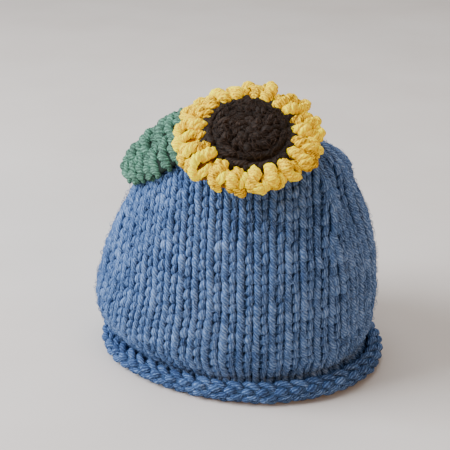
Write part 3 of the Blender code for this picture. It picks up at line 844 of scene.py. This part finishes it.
def hem_bumps(columns, jitter, seed):
    """The roll's purl bumps: short ovals of yarn lying along the round, each row half a stitch on from the
    last, bowed up or down and diving at both ends. Over them, a flat strand for each stitch slants from the
    wall down to the top row's bump."""
    rng = np.random.default_rng(seed)
    t = np.linspace(-1, 1, 9)
    share, column = (t + 1) / 2, np.arange(columns)[:, None]
    around = np.degrees(1 / (2 * ROLL_MID_RADIUS - HALF_CLOTH + 1.4))
    parts = []

    def laid(along, turn, height, wide, tone):
        """Adds yarn on the roll: along counts stitches round it, turn goes round its section, and height is
        over its middle; nothing reaches under the ground."""
        angle = oval_angle(along / columns % 1 * OVAL_ALONG[-1])
        path, centre = roll_at(angle, turn, height), roll_at(angle, turn, -ROLL_MID_RADIUS)
        # The roll's yarn is drawn darker throughout, as painted shade.
        part = yarn(path, unit(path - centre), wide, wide * HEM_FLAT, 7, tone - HEM_PAINTED_SHADE)
        part["points"][:, 2] = np.maximum(part["points"][:, 2], 0.0)
        parts.append(part)

    for number, (middle, half_long, half_wide, middle_up, ends_down, over) in enumerate(HEM_ROWS):
        own = uneven(rng, jitter, columns, 4)
        along = column + 0.5 * (number % 2) + (half_long + 0.02 * own[:, 3:]) * t + 0.05 * own[:, :1]
        turn = np.radians(middle + around * (middle_up * (1 - t**2) - 0.25 * t + 0.15 * own[:, 1:2]))
        height = over - ends_down * np.abs(t) ** 2.2 + 0.14 * own[:, 2:3]
        wide = (1 + 0.07 * own[:, 3:]) * half_wide * (1 - 0.58 * np.abs(t) ** 2.4)
        laid(along, turn, height, wide, own[:, 2])
    own = uneven(rng, jitter, columns, 4)
    along = column - 1.30 + 1.12 * share + 0.05 * own[:, :1]
    turn = np.radians(ROLL_END_DEG - 6 - 56 * share**1.2 + 3 * own[:, 1:2])
    height = by_table(share, HEM_STRAND_HEIGHT) + 0.1 * own[:, 2:3]
    laid(along, turn, height, by_table(share, HEM_STRAND_SIZE) * (1 + 0.06 * own[:, 3:]), own[:, 2])
    return parts


FIBRES = 2400  # on each half
FIBRE_HALF_MM, FIBRE_REACH, FIBRE_RISE = 0.08, 1.8, 1.9  # half thickness, half length, rise of each arch


def knit_fuzz(fibres, jitter, seed):
    """Loose fibres of the knitted cloth: short arches between random places on it, both ends down among the
    stitches. Real ones are 0.02 mm thick and are drawn eight times as thick."""
    rng = np.random.default_rng(seed)
    t = np.linspace(-1, 1, 6)
    parts = []
    for front in (True, False):
        half = half_cloth(front)
        own = uneven(rng, jitter, fibres, 4)
        heading = 2 * np.pi * rng.random((fibres, 1)) + 0.4 * own[:, :1] * t
        middle = 4 + (half["up"][-1] - 12) * rng.random((fibres, 1))
        length = measures(half, middle, "length")[0]
        reach = FIBRE_REACH + 0.4 * own[:, 1:2]
        up = middle + reach * t * np.cos(heading)
        along = 2 + (length - 4) * rng.random((fibres, 1)) + reach * t * np.sin(heading)
        point, normal = on_cloth(half, up, np.clip(along, 0, length))
        height = 0.6 + (FIBRE_RISE + 0.35 * own[:, 2:3]) * (1 - t**2)
        path = point + normal * height[..., None]
        # The fibres' tone is raised, so they are drawn lighter than the yarn, as painted sheen.
        parts.append(yarn(path, normal, FIBRE_HALF_MM, FIBRE_HALF_MM, 3, 4 + own[:, 3]))
    return parts


def slit_edges(row_mm, jitter, seed):
    """The selvedge of each slit: a chain of overlapping lengths of yarn that lies along the cloth's
    edge."""
    rng = np.random.default_rng(seed)
    t = np.linspace(-1, 1, 9)
    parts = []
    for front in (True, False):
        half = half_cloth(front)
        for name, (_, low, high, _, _) in SLITS.items():
            bottom, top = np.interp([low - 1.0, high + 1.0], half["z"], half["up"])
            up = np.arange(bottom, top, row_mm * 0.8)
            own = uneven(rng, jitter, len(up), 4)
            at = up[:, None] + row_mm * (0.75 * t + 0.06 * own[:, :1])
            length = measures(half, at, "length")[0]
            inset = 0.5 + 1.1 * t + 0.12 * own[:, 1:2]
            place = inset if (name == "spout") == front else length - inset
            edge, normal = on_cloth(half, at, np.clip(place, 0, length))
            height = 0.2 - 1.0 * t**2 - 0.5 * t + 0.12 * own[:, 2:3]
            size = (1.75 - 0.7 * t**4) * (1 + 0.07 * own[:, 3:])
            parts.append(yarn(edge + normal * height[..., None], normal, size, size * 0.9, 7, own[:, 1]))
    return parts


# ======== the flower and the leaf ========

RAY_FROM = 30.0  # height over the flower that rays start from
LEAF_RAY_FROM, LEAF_RAY_LONG = 25.0, 60.0  # how far over the leaf its rays start, and how far they go
RING_THIN = 0.9  # the firm inside of the petals is never thinner
CENTRE_RIM = 1.4  # how far the brown round's yarn stands out past its firm inside
ROUNDS_FROM, ROUNDS_TO, ROUND_STITCH = 2.6, 10.4, 5.0  # the inner rounds' radii, and their stitches' pitch
RIM_STITCH = 4.4  # pitch of the stitches in the two rounds along the rim
RIM_ROUNDS = [
    # radius, lean, how far the round follows the petals' inner ends
    (13.6, 0.5, 0.25),
    (16.2, -0.5, 0.55),
]
POINT_SIZE = [(0, 1.9), (0.3, 2.1), (0.7, 1.4), (1, 0.3)]  # share of a point's length: half size
CENTRE_FIBRES, CENTRE_FIBRE_REACH, CENTRE_FIBRES_TO = 260, 2.0, 16.5  # number, half length, how far out
PETAL_YARN = {
    # name: rows of radius, turn in petals, height, half_wide
    "inner_knob": [
        (17.6, -0.10, 1.3, 2.2), (18.8, -0.10, 2.3, 2.75), (20.6, -0.09, 2.8, 2.75),
        (22.4, -0.08, 2.5, 2.4), (23.8, -0.08, 1.7, 1.7),
    ],
    "ridge": [
        (21.4, -0.30, 1.5, 1.6), (22.8, -0.28, 2.3, 2.0), (24.8, -0.22, 2.2, 2.15),
        (26.4, -0.12, 1.2, 2.1), (27.4, 0.0, 0.4, 1.6),
    ],
    "outer_ridge": [
        (23.4, -0.38, 0.1, 1.5), (24.8, -0.36, 0.7, 1.9), (26.4, -0.30, 0.5, 2.0),
        (27.6, -0.22, -0.3, 1.9), (28.2, -0.14, -1.0, 1.4),
    ],
    "tip": [
        (26.8, -0.16, 0.3, 1.6), (27.6, -0.07, 0.3, 2.1), (28.2, 0.06, -0.4, 2.3),
        (28.1, 0.19, -1.3, 2.1), (27.5, 0.29, -1.9, 1.5),
    ],
    "curl": [
        (27.8, 0.22, -1.2, 1.5), (27.0, 0.33, -0.3, 1.8), (25.5, 0.41, 0.5, 1.8),
        (24.1, 0.45, 0.8, 1.6), (23.0, 0.46, 0.4, 1.2),
    ],
    "under": [
        (16.2, -0.10, -1.2, 1.4), (18.6, 0.0, -1.9, 2.2), (21.6, 0.04, -2.4, 2.5),
        (23.8, 0.06, -2.8, 2.3), (25.4, 0.08, -2.8, 1.7),
    ],
    "crease": [
        (18.8, 0.47, -0.7, 1.2), (20.4, 0.49, -0.2, 1.7), (22.4, 0.50, 0.1, 1.8),
        (24.4, 0.51, -0.3, 1.6), (26.0, 0.52, -1.0, 1.1),
    ],
    "inner_curl": [
        (19.9, 0.30, 0.3, 1.1), (20.9, 0.34, 1.3, 1.6), (22.2, 0.38, 1.7, 1.7),
        (23.4, 0.41, 1.2, 1.5), (24.3, 0.43, 0.4, 1.1),
    ],
}
PETAL_FROM_R, PETAL_LONG = 17.0, 11.0  # a petal's length is squeezed or drawn out between these
PETAL_LAY_MM, PETAL_STRANDS = 10.0, 4  # the length in which its strands wind once round, and their number
PETAL_PAINTED_SHADE = {"crease": 9, "under": 2, "outer_ridge": 2}  # painted shade: how much darker these strands are drawn, in steps of the yarn's tone: the crease, the strands under the petals and the low outer ridge
PETAL_REACH = [
    # angle_deg round the flower from its right, how much longer the petals are there
    (0, 0.4), (40, 0.8), (70, -0.2), (90, -0.7), (106, -3.2), (126, -0.6), (160, 0.0), (200, 1.2),
    (235, 1.8), (265, 0.8), (295, -0.6), (330, 0.0), (360, 0.4),
]
PETAL_START = [
    # angle_deg round the flower from its right, how much further out the petals' inner ends are there
    (0, 0.0), (180, 0.0), (210, 0.8), (235, 2.6), (270, 4.2), (300, 3.6), (325, 1.6), (345, 0.2), (360, 0.0),
]
LEAF_LAY_MM = 9.0  # the length in which its two strands wind once round
LEAF_RIB_SIZE = [(0, 1.4), (0.15, 2.3), (0.5, 2.7), (0.85, 2.7), (1, 1.7)]  # share of its length: half size
LEAF_TIP_SIZE = [(0, 2.1), (0.8, 2.0), (1, 1.2)]


def tree_of(*names):
    """A ray-casting tree of the named solids' faces."""
    points, polygons = [], []
    for name in names:
        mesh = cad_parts[name].data
        first = len(points)
        points += [v.co.copy() for v in mesh.vertices]
        polygons += [tuple(first + v for v in p.vertices) for p in mesh.polygons]
    return BVHTree.FromPolygons(points, polygons)


def flower_axes():
    """The flower's own axes: across, up its face, and out of its face."""
    tilt, turn = np.radians(FLOWER_TILT_DEG), np.radians(FLOWER_TURN_DEG)
    out = np.array([np.sin(tilt) * np.sin(turn), -np.sin(tilt) * np.cos(turn), np.cos(tilt)])
    across = np.array([np.cos(turn), np.sin(turn), 0.0])
    return across, np.cross(out, across), out


def flower_point(radius, angle, height):
    """Points from the flower's own radius, angle and height."""
    across, up, out = flower_axes()
    radius, angle, height = np.broadcast_arrays(radius, angle, height)
    flat = (radius * np.cos(angle))[..., None] * across + (radius * np.sin(angle))[..., None] * up
    return np.array(FLOWER_AT) + flat + height[..., None] * out


def cloth_height(tree, radius, angle):
    """Height of what lies under the flower, measured out of the flower's face by rays from above it; far
    below where it has fallen away."""
    out = flower_axes()[2]
    starts = flower_point(radius, angle, RAY_FROM)
    found = np.full(starts.shape[:2], -2 * RAY_FROM)
    for place in np.ndindex(*found.shape):
        distance = tree.ray_cast(Vector(starts[place] * MM), Vector(-out))[3]
        if distance is not None:
            found[place] = RAY_FROM - distance / MM
    return np.maximum(found, np.maximum(np.roll(found, 1, axis=1), np.roll(found, -1, axis=1)))


def petal_ring(petals):
    """The firm inside of the petals: a closed radial section swept round, swelling on each petal and
    pinched in each crease."""
    tree = tree_of("cosy_body", "leaf")
    angle = np.linspace(0, 2 * np.pi, petals * 12, endpoint=False)[None, :]
    lobe = np.abs(np.cos(petals * angle / 2)) ** 0.75
    table = np.array(PETAL_SECTION)
    out, top, crease_top, bottom, crease_bottom = (table[:, i : i + 1] for i in range(5))
    longer = round_flower(angle, PETAL_REACH)
    tip = PETAL_CREASE_R + (PETAL_TIP_R - PETAL_CREASE_R) * lobe + np.minimum(longer, 1.2)
    radius = RING_INNER_R + (tip - RING_INNER_R) * out
    upper = crease_top + (top - crease_top) * lobe
    lower = np.minimum(crease_bottom + (bottom - crease_bottom) * lobe, upper - RING_THIN)
    lower = np.maximum(lower, cloth_height(tree, radius, angle) + SEAT_GAP)
    upper = np.maximum(upper, lower + RING_THIN)
    upper[-1] = lower[-1] = (upper[-1] + lower[-1]) / 2
    radius, height = np.concatenate([radius[:-1], radius[::-1]]), np.concatenate([lower[:-1], upper[::-1]])
    ring = flower_point(radius, angle, height)
    return [surface(np.concatenate([ring, ring[:1]]), closed=True)]


def round_flower(angle, table):
    """A table's value at an angle round the flower from its right."""
    return by_table(np.degrees(angle) % 360, table)


def petal_yarn(petals, jitter, seed):
    """Each petal's crochet: the same few knobs of twisted yarn carried to every petal of the ring, each
    made a little uneven in place, height and size, and squeezed between where the petal begins and its own
    length. Those under the petals are lifted clear of the cloth."""
    rng = np.random.default_rng(seed)
    out, tree = flower_axes()[2], tree_of("cosy_body", "leaf")
    middle = 2 * np.pi * np.arange(petals)[:, None] / petals
    longer, start = round_flower(middle, PETAL_REACH), round_flower(middle, PETAL_START)
    whole = uneven(rng, jitter, petals, 4)
    parts = []
    for name, table in PETAL_YARN.items():
        line = curve_through(table, 11)
        own = uneven(rng, jitter, petals, 4)
        share = (line[:, 0] - PETAL_FROM_R) / PETAL_LONG
        radius = line[:, 0] + 0.45 * own[:, :1] + share * (0.7 * whole[:, :1] + longer) + (1 - share) * start
        turn = line[:, 1] + 0.06 * own[:, 1:2] + 0.07 * whole[:, 1:2]
        lumps = uneven(rng, jitter, 2, petals, len(line))
        height = line[:, 2] + 0.5 * own[:, 2:3] + 0.4 * whole[:, 2:3] + 0.16 * lumps[0]
        size = line[:, 3] * (1 + 0.10 * own[:, 3:] + 0.07 * lumps[1])
        angle = middle + turn * 2 * np.pi / petals
        if name == "under":
            height = np.maximum(height, cloth_height(tree, radius, angle) + size + SEAT_GAP + 0.8)
        path = flower_point(radius, angle, height)
        # Painted shade: the crease, the strands under the petals and the outer ridge are drawn darker.
        tone = 2.4 * own[:, 2] - PETAL_PAINTED_SHADE.get(name, 0)
        up, start_turn = np.broadcast_to(out, path.shape), rng.random(petals)
        parts += rope(path, up, size, PETAL_STRANDS, PETAL_LAY_MM, start_turn, tone, 6)
    return parts


def centre_dome():
    """The firm inside of the brown round: a domed profile turned about the flower's axis, with a back that
    lies on the cloth."""
    angle = np.linspace(0, 2 * np.pi, 84, endpoint=False)[None, :]
    reach = CENTRE_R - CENTRE_RIM
    # The back on the cloth, the underside of the rim, and the dome, each as parts of a radius and heights.
    back_r = CENTRE_HUB_R * np.array([[0.0], [0.35], [0.7], [1.0]]) + 0 * angle
    back_height = cloth_height(tree_of("cosy_body", "leaf"), back_r, angle) + SEAT_GAP
    rest = np.array([(CENTRE_HUB_R, 1.05), (CENTRE_HUB_R + 1.6, 1.3), (reach, 1.3)])
    dome = np.array(CENTRE_TOP) * (reach, 1)
    rest = np.concatenate([rest, dome])[..., None] + 0 * angle
    radius, height = np.concatenate([back_r, rest[:, 0]]), np.concatenate([back_height, rest[:, 1]])
    return [surface(flower_point(radius, angle, height), closed=True)]


def dome_height(radius):
    """Height of the brown round's own surface at a radius, by its profile table."""
    return by_table(radius, np.array(CENTRE_TOP)[::-1] * (CENTRE_R - CENTRE_RIM, 1))


def centre_yarn(rounds, petals, jitter, seed):
    """The brown round's stitches. Inside, rounds of short fat strands that lean like a pinwheel over a
    closing knot; outside, two flatter rounds lying along the rim; and a point of yarn between each two
    petals. Loose fibres arch over them; real ones are 0.02 mm thick and are drawn ten times as thick."""
    rng = np.random.default_rng(seed)
    out = flower_axes()[2]
    t = np.linspace(-1, 1, 8)
    parts = []

    def laid(radius, angle, height, size, tone):
        """Adds yarn at the flower's own radius, angle and height, a little flatter than it is wide."""
        path = flower_point(radius, angle, height)
        parts.append(yarn(path, np.broadcast_to(out, path.shape), size, size * 0.9, 7, tone))

    for number, radius in enumerate(np.linspace(ROUNDS_FROM, ROUNDS_TO, rounds)):
        count = max(6, int(round(2 * np.pi * radius / ROUND_STITCH)))
        middle = 2 * np.pi * (np.arange(count)[:, None] + 0.37 * number) / count
        for side in (-1, 1):
            own = uneven(rng, jitter, count, 4)
            r = np.maximum(radius + 2.3 * t + 0.4 * own[:, :1], 0.2)
            angle = middle + (1.1 * side + 1.0 * t + 0.4 * own[:, 1:2]) / max(radius, 3.0)
            height = dome_height(r) + 0.6 - 1.1 * np.abs(t) ** 2.5 + 0.4 * own[:, 2:3]
            laid(r, angle, height, (1.7 - 0.6 * t**2) * (1 + 0.12 * own[:, 3:]), own[:, 2])
    for radius, lean, spread in RIM_ROUNDS:
        count = int(round(2 * np.pi * radius / RIM_STITCH))
        middle = 2 * np.pi * (np.arange(count)[:, None] + lean) / count
        own = uneven(rng, jitter, count, 4)
        r = radius + lean * t + 0.2 * own[:, :1] + spread * round_flower(middle, PETAL_START)
        angle = middle + (3.1 * t + 0.3 * own[:, 1:2]) / radius
        height = dome_height(r) + 0.2 - 0.6 * np.abs(t) ** 3 + 0.2 * own[:, 2:3]
        laid(r, angle, height, (1.6 - 0.45 * t**4) * (1 + 0.08 * own[:, 3:]), own[:, 2])
    middle = 2 * np.pi * (np.arange(petals)[:, None] + 0.5 - 0.10) / petals
    own = uneven(rng, jitter, petals, 3)
    share = (t + 1) / 2
    further = round_flower(middle, PETAL_START)
    size = by_table(share, POINT_SIZE) * (1 - 0.08 * further)
    reach = RIM_ROUNDS[-1][0] + (4.6 - 0.55 * further) * share + 0.3 * own[:, :1] + 0.75 * further
    laid(reach, middle + 0.02 * own[:, 2:], 2.3 - 0.4 * share**2 + 0.15 * own[:, 1:2], size, own[:, 2])
    middle, spot, heading = (rng.random((CENTRE_FIBRES, 1)) for _ in range(3))
    own, radius = uneven(rng, jitter, CENTRE_FIBRES, 3), CENTRE_FIBRES_TO * np.sqrt(spot)
    bent = 2 * np.pi * heading + 0.5 * own[:, :1] * t
    r = radius + CENTRE_FIBRE_REACH * t * np.cos(bent)
    angle = 2 * np.pi * middle + CENTRE_FIBRE_REACH * t * np.sin(bent) / np.maximum(radius, 3.0)
    height = dome_height(np.abs(r)) + 1.5 + (1.0 + 0.3 * own[:, 1:2]) * (1 - t**2)
    # The loose fibres' tone is raised, so they are drawn lighter than the yarn, as painted sheen.
    laid(r, angle, height, 0.11 + 0 * t, 5 + own[:, 2])
    return parts


def leaf_cloth():
    """The leaf's middle as a fine grid of points and normals: a straight line across each point of the bent
    middle line, its edges turned down by the square of their distance, lifted where the cloth below would
    meet it."""
    tree = tree_of("cosy_body")
    line = curve_through(LEAF_LINE, 29)
    ahead = unit(np.gradient(line[:, :3], axis=0))
    across = unit(np.array(LEAF_ACROSS) - ahead * (ahead @ np.array(LEAF_ACROSS))[:, None])
    face = np.cross(across, ahead)
    side = np.linspace(-1, 1, 17)[None, :, None]
    flat = line[:, None, :3] + side * line[:, None, 3:] * across[:, None]
    middle = flat - LEAF_CUP * side**2 * face[:, None]
    lift = np.zeros(middle.shape[:2])
    for i, j in np.ndindex(*lift.shape):
        start = middle[i, j] - face[i] * LEAF_THICK / 2 + LEAF_RAY_FROM * face[i]
        distance = tree.ray_cast(Vector(start * MM), Vector(-face[i]), LEAF_RAY_LONG * MM)[3]
        if distance is not None:
            lift[i, j] = max(0.0, LEAF_RAY_FROM - distance / MM + SEAT_GAP)
    for _ in range(3):
        padded = np.pad(lift, 1, mode="edge")
        around = padded[:-2, 1:-1] + padded[2:, 1:-1] + padded[1:-1, :-2] + padded[1:-1, 2:]
        lift = np.maximum(lift, around / 4)
    middle = middle + lift[..., None] * face[:, None]
    return {"points": middle, "normals": grid_normals(middle), "line": line}


def leaf_sheet(leaf):
    """The leaf's base: two faces offset from its middle, thinning to the edges, with a rim round it."""
    rows, columns = np.meshgrid(np.linspace(0, 1, 57), np.linspace(0.05, 0.97, 25), indexing="ij")
    point, normal = on_shape(leaf, rows, columns)
    side = np.abs(2 * columns - 1)
    thick = (LEAF_THICK / 2 * np.sqrt(np.clip(1.1 - side**4, 0.1, 1)))[..., None]
    upper, lower = point + normal * thick * 0.35, point - normal * thick
    ends = ((0, False), (-1, True))
    sides = [surface(np.stack([lower[:, end], upper[:, end]], axis=1), flip) for end, flip in ends]
    sides += [surface(np.stack([lower[end], upper[end]]), flip) for end, flip in ends]
    return [surface(upper), surface(lower, True)] + sides


def leaf_yarn(leaf, ribs, jitter, seed):
    """The leaf's crochet: fat twisted ribs that cross it from its back edge to its front edge, each bowed
    towards the tip and ending in a knob at the edge, with one more laid round the tip."""
    rng = np.random.default_rng(seed)
    t = np.linspace(-1, 1, 11)
    out = (t + 1) / 2
    base = (np.arange(ribs)[:, None] + 0.05) / ribs * 0.95
    half_width = np.interp(base, np.linspace(0, 1, len(leaf["line"])), leaf["line"][:, 3])
    parts = []

    def laid(row, side, height, size, start, tone):
        """Adds twisted yarn on the leaf: row goes from its root to its tip, and side from one edge, -1, to
        the other, 1; height is along the leaf's normal."""
        point, normal = on_shape(leaf, row, (side + 1) / 2)
        parts.extend(rope(point + normal * height[..., None], normal, size, 2, LEAF_LAY_MM, start, tone))

    for half in (-1, 1):
        # Half a rib: from just past the middle line out to the edge.
        own = uneven(rng, jitter, ribs, 4)
        reach = (half_width - (1.6 if half > 0 else 0.4)) / half_width
        side = half * (reach * out - 0.10 * (1 - out)) + 0.03 * own[:, :1]
        row = base + 0.035 * np.sin(np.pi * out) - 0.02 + 0.007 * own[:, 1:2] + 0.02 * half
        size = by_table(out, LEAF_RIB_SIZE) * (1 + 0.08 * own[:, 3:])
        height = 0.35 + 0.5 * np.sin(np.pi * out) ** 2 - 0.5 * (1 - out) ** 4 + 0.3 * own[:, 2:3]
        laid(row, side, height, size, rng.random(ribs), own[:, 2])
    own = uneven(rng, jitter, 1, 4)
    turn = np.pi * t[None] * 0.5
    size = by_table(np.abs(t), LEAF_TIP_SIZE)[None] * (1 + 0.05 * own[:, 3:])
    laid(0.88 + 0.10 * np.cos(turn), 0.72 * np.sin(turn), 0.2 + 0 * turn, size, rng.random(1), own[:, 2])
    return parts


# ======== sizes and colours that a user would change ========


class CosyKnit(bpy.types.PropertyGroup):
    """The gauge of the knitting."""

    columns: IntProperty(
        name="Stitches in Each Half",
        description="Columns of stitches from slit to slit",
        default=26,
        min=20,
        max=40,
    )
    row_mm: FloatProperty(
        name="Row Height (mm)", description="Height of one knitted row", default=ROW_MM, min=3.0, max=6.0
    )
    unevenness: FloatProperty(
        name="Unevenness",
        description="How uneven the hand-made stitches are",
        default=1.0,
        min=0.0,
        max=2.0,
        subtype="FACTOR",
    )


class CosyFlower(bpy.types.PropertyGroup):
    """The sewn-on crochet pieces."""

    petals: IntProperty(name="Petals", description="Petals round the flower", default=21, min=12, max=28)
    rounds: IntProperty(
        name="Rounds", description="Rounds of stitches inside the brown centre", default=3, min=2, max=5
    )
    leaf_ribs: IntProperty(name="Leaf Ribs", description="Ribs across the leaf", default=10, min=6, max=16)


SRGB = {"size": 3, "min": 0, "max": 1, "subtype": "COLOR_GAMMA"}


class CosyColours(bpy.types.PropertyGroup):
    """The yarns' colours, as sRGB values."""

    blue: FloatVectorProperty(
        name="Blue", description="Yarn of the shell", default=(0.29, 0.415, 0.605), **SRGB
    )
    yellow: FloatVectorProperty(
        name="Yellow", description="Yarn of the petals", default=(0.97, 0.81, 0.0), **SRGB
    )
    brown: FloatVectorProperty(
        name="Brown", description="Yarn of the centre", default=(0.115, 0.088, 0.068), **SRGB
    )
    green: FloatVectorProperty(
        name="Green", description="Yarn of the leaf", default=(0.276, 0.424, 0.355), **SRGB
    )


# ======== operators ========


class COSY_OT_knit(bpy.types.Operator):
    """Builds the knitted shell: its cloth, its stitches, the rolled hem and the slits' edges"""

    bl_idname = "cosy.knit"
    bl_label = "Knitted Shell"

    def execute(self, context):
        knit, blue = context.scene.cosy_knit, hex_of(context.scene.cosy_colours.blue)
        # The backing's dark colour, 0.7 of the blue, is painted shade where the cloth shows between the
        # stitches.
        backing = purl_cloth("knit_wrong_side_blue", blue, scaled(blue, 0.7))
        wool = spun_yarn("aran_wool_blue")
        gauge = (knit.columns, knit.row_mm, knit.unevenness)
        sheet = add_piece("knit_cloth", cloth_sheet(), backing, weld=True)
        stitched = {
            "knit_front": knit_half(True, *gauge, 11),
            "knit_back": knit_half(False, *gauge, 12),
            "hem_bumps": hem_bumps(2 * knit.columns, knit.unevenness, 13),
            "slit_edges": slit_edges(*gauge[1:], 14),
            "knit_fuzz": knit_fuzz(FIBRES, knit.unevenness, 15),
        }
        pieces = [add_piece(name, parts, wool) for name, parts in stitched.items()]
        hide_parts("cosy_body")
        return {"FINISHED"}


class COSY_OT_flower(bpy.types.Operator):
    """Builds the crocheted sunflower: its petals and its brown centre"""

    bl_idname = "cosy.flower"
    bl_label = "Sunflower"

    def execute(self, context):
        flower, jitter = context.scene.cosy_flower, context.scene.cosy_knit.unevenness
        # The firm inside of the petals gets the darker orange yarn, painted shade where it shows between the
        # knobs.
        petal, inside, dark = (
            spun_yarn(name)
            for name in ("crochet_cotton_yellow", "crochet_cotton_yellow_inside_painted_shade", "crochet_wool_brown")
        )
        ring = add_piece("petal_ring", petal_ring(flower.petals), inside, weld=True)
        knobs = add_piece("petal_yarn", petal_yarn(flower.petals, jitter, 21), petal)
        dome = add_piece("centre_dome", centre_dome(), dark, weld=True)
        add_piece("centre_yarn", centre_yarn(flower.rounds, flower.petals, jitter, 22), dark)
        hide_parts("flower_petals")
        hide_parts("flower_centre")
        return {"FINISHED"}


class COSY_OT_leaf(bpy.types.Operator):
    """Builds the crocheted leaf"""

    bl_idname = "cosy.leaf"
    bl_label = "Leaf"

    def execute(self, context):
        leaf, ribs = leaf_cloth(), context.scene.cosy_flower.leaf_ribs
        jitter = context.scene.cosy_knit.unevenness
        # The leaf's sheet gets the dark green yarn, painted shade where it shows between the ribs.
        inside, wool = spun_yarn("crochet_wool_green_inside_painted_shade"), spun_yarn("crochet_wool_green")
        sheet = add_piece("leaf_sheet", leaf_sheet(leaf), inside, weld=True)
        strands = add_piece("leaf_yarn", leaf_yarn(leaf, ribs, jitter, 31), wool)
        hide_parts("leaf")
        return {"FINISHED"}


class COSY_OT_stage(bpy.types.Operator):
    """Builds the pale floor, the soft studio light and the camera"""

    bl_idname = "cosy.stage"
    bl_label = "Floor, Light and Camera"

    def execute(self, context):
        # A round floor that runs into a low wall far from the object on every side, in one curve.
        rise, turn = np.linspace(0, np.pi / 2, 17), np.linspace(0, 2 * np.pi, 96, endpoint=False)
        curve = FLOOR_R + FLOOR_CURVE * np.sin(rise)
        out = np.concatenate([[0.0, 0.4, 2.0, 4.0], curve, [FLOOR_R + FLOOR_CURVE]])
        height = np.concatenate([np.zeros(4), FLOOR_CURVE - FLOOR_CURVE * np.cos(rise), [WALL_TOP]])
        out, height = (a[:, None] + 0 * turn for a in (out, height))
        grid = np.stack([out * np.cos(turn), out * np.sin(turn), height], axis=-1)
        floor = surface(grid, closed=True)
        mesh = bpy.data.meshes.new("studio_floor")
        mesh.from_pydata(floor["points"].tolist(), [], floor["quads"].tolist())
        mesh.shade_smooth()
        mesh.materials.append(matt_board("studio_board", "cfcbc6", "c8c3bd"))
        new_object("studio_floor", mesh)
        back_way, right = np.array(CAMERA_BACK), np.array(CAMERA_RIGHT)
        aside, above = FRAME_ASIDE_PX
        ahead = -back_way - right * aside / FOCAL_PX + np.cross(back_way, right) * above / FOCAL_PX
        camera = bpy.data.cameras.new("camera")
        camera.sensor_width, camera.lens = SENSOR_MM, SENSOR_MM * FOCAL_PX / FRAME_PX
        camera.clip_start, camera.clip_end = 0.01, 20
        context.scene.camera = aimed("camera", camera, Vector(CAMERA_AT) * MM, ahead)
        for name, place, width, watts, colour in LIGHTS:
            light = bpy.data.lights.new(name, "AREA")
            light.size, light.energy, light.color = width, watts, linear(colour)[:3]
            aimed(name, light, place, Vector(LIT_AT) - Vector(place))
        world = context.scene.world or bpy.data.worlds.new("studio")
        context.scene.world = world
        world.use_nodes = True
        sky = next(n for n in world.node_tree.nodes if n.type == "BACKGROUND").inputs
        sky["Color"].default_value, sky["Strength"].default_value = linear(SKY_HEX), SKY_STRENGTH
        return {"FINISHED"}


def aimed(name, data, place, ahead):
    """A new camera or lamp at a place, looking along ahead."""
    obj = new_object(name, data)
    obj.location, obj.rotation_mode = place, "QUATERNION"
    obj.rotation_quaternion = Vector(ahead).to_track_quat("-Z", "Y")
    return obj


class COSY_PT_panel(bpy.types.Panel):
    """Lists the cosy's sizes, colours and pieces"""

    bl_idname = "COSY_PT_panel"
    bl_label = "Tea Cosy"
    bl_space_type = "VIEW_3D"
    bl_region_type = "UI"
    bl_category = "Tea Cosy"

    def draw(self, context):
        for group in GROUPS:
            properties = getattr(context.scene, group)
            for name in properties.__annotations__:
                self.layout.prop(properties, name)
        for operator in OPERATORS:
            self.layout.operator(operator.bl_idname)


OPERATORS = (COSY_OT_knit, COSY_OT_flower, COSY_OT_leaf, COSY_OT_stage)
GROUPS = {"cosy_knit": CosyKnit, "cosy_flower": CosyFlower, "cosy_colours": CosyColours}
CLASSES = (*GROUPS.values(), *OPERATORS, COSY_PT_panel)


def register():
    """Registers the classes and hangs the groups of sizes and colours on the scene."""
    for kind in CLASSES:
        bpy.utils.register_class(kind)
    for name, group in GROUPS.items():
        setattr(bpy.types.Scene, name, PointerProperty(type=group))


def unregister():
    """Takes away what register added, in the opposite order."""
    for name in GROUPS:
        delattr(bpy.types.Scene, name)
    for kind in reversed(CLASSES):
        bpy.utils.unregister_class(kind)


def main():
    """Registers the add-on and builds every piece in order."""
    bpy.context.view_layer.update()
    register()
    bpy.ops.cosy.knit()
    bpy.ops.cosy.flower()
    bpy.ops.cosy.leaf()
    bpy.ops.cosy.stage()


if __name__ == "__main__":
    main()
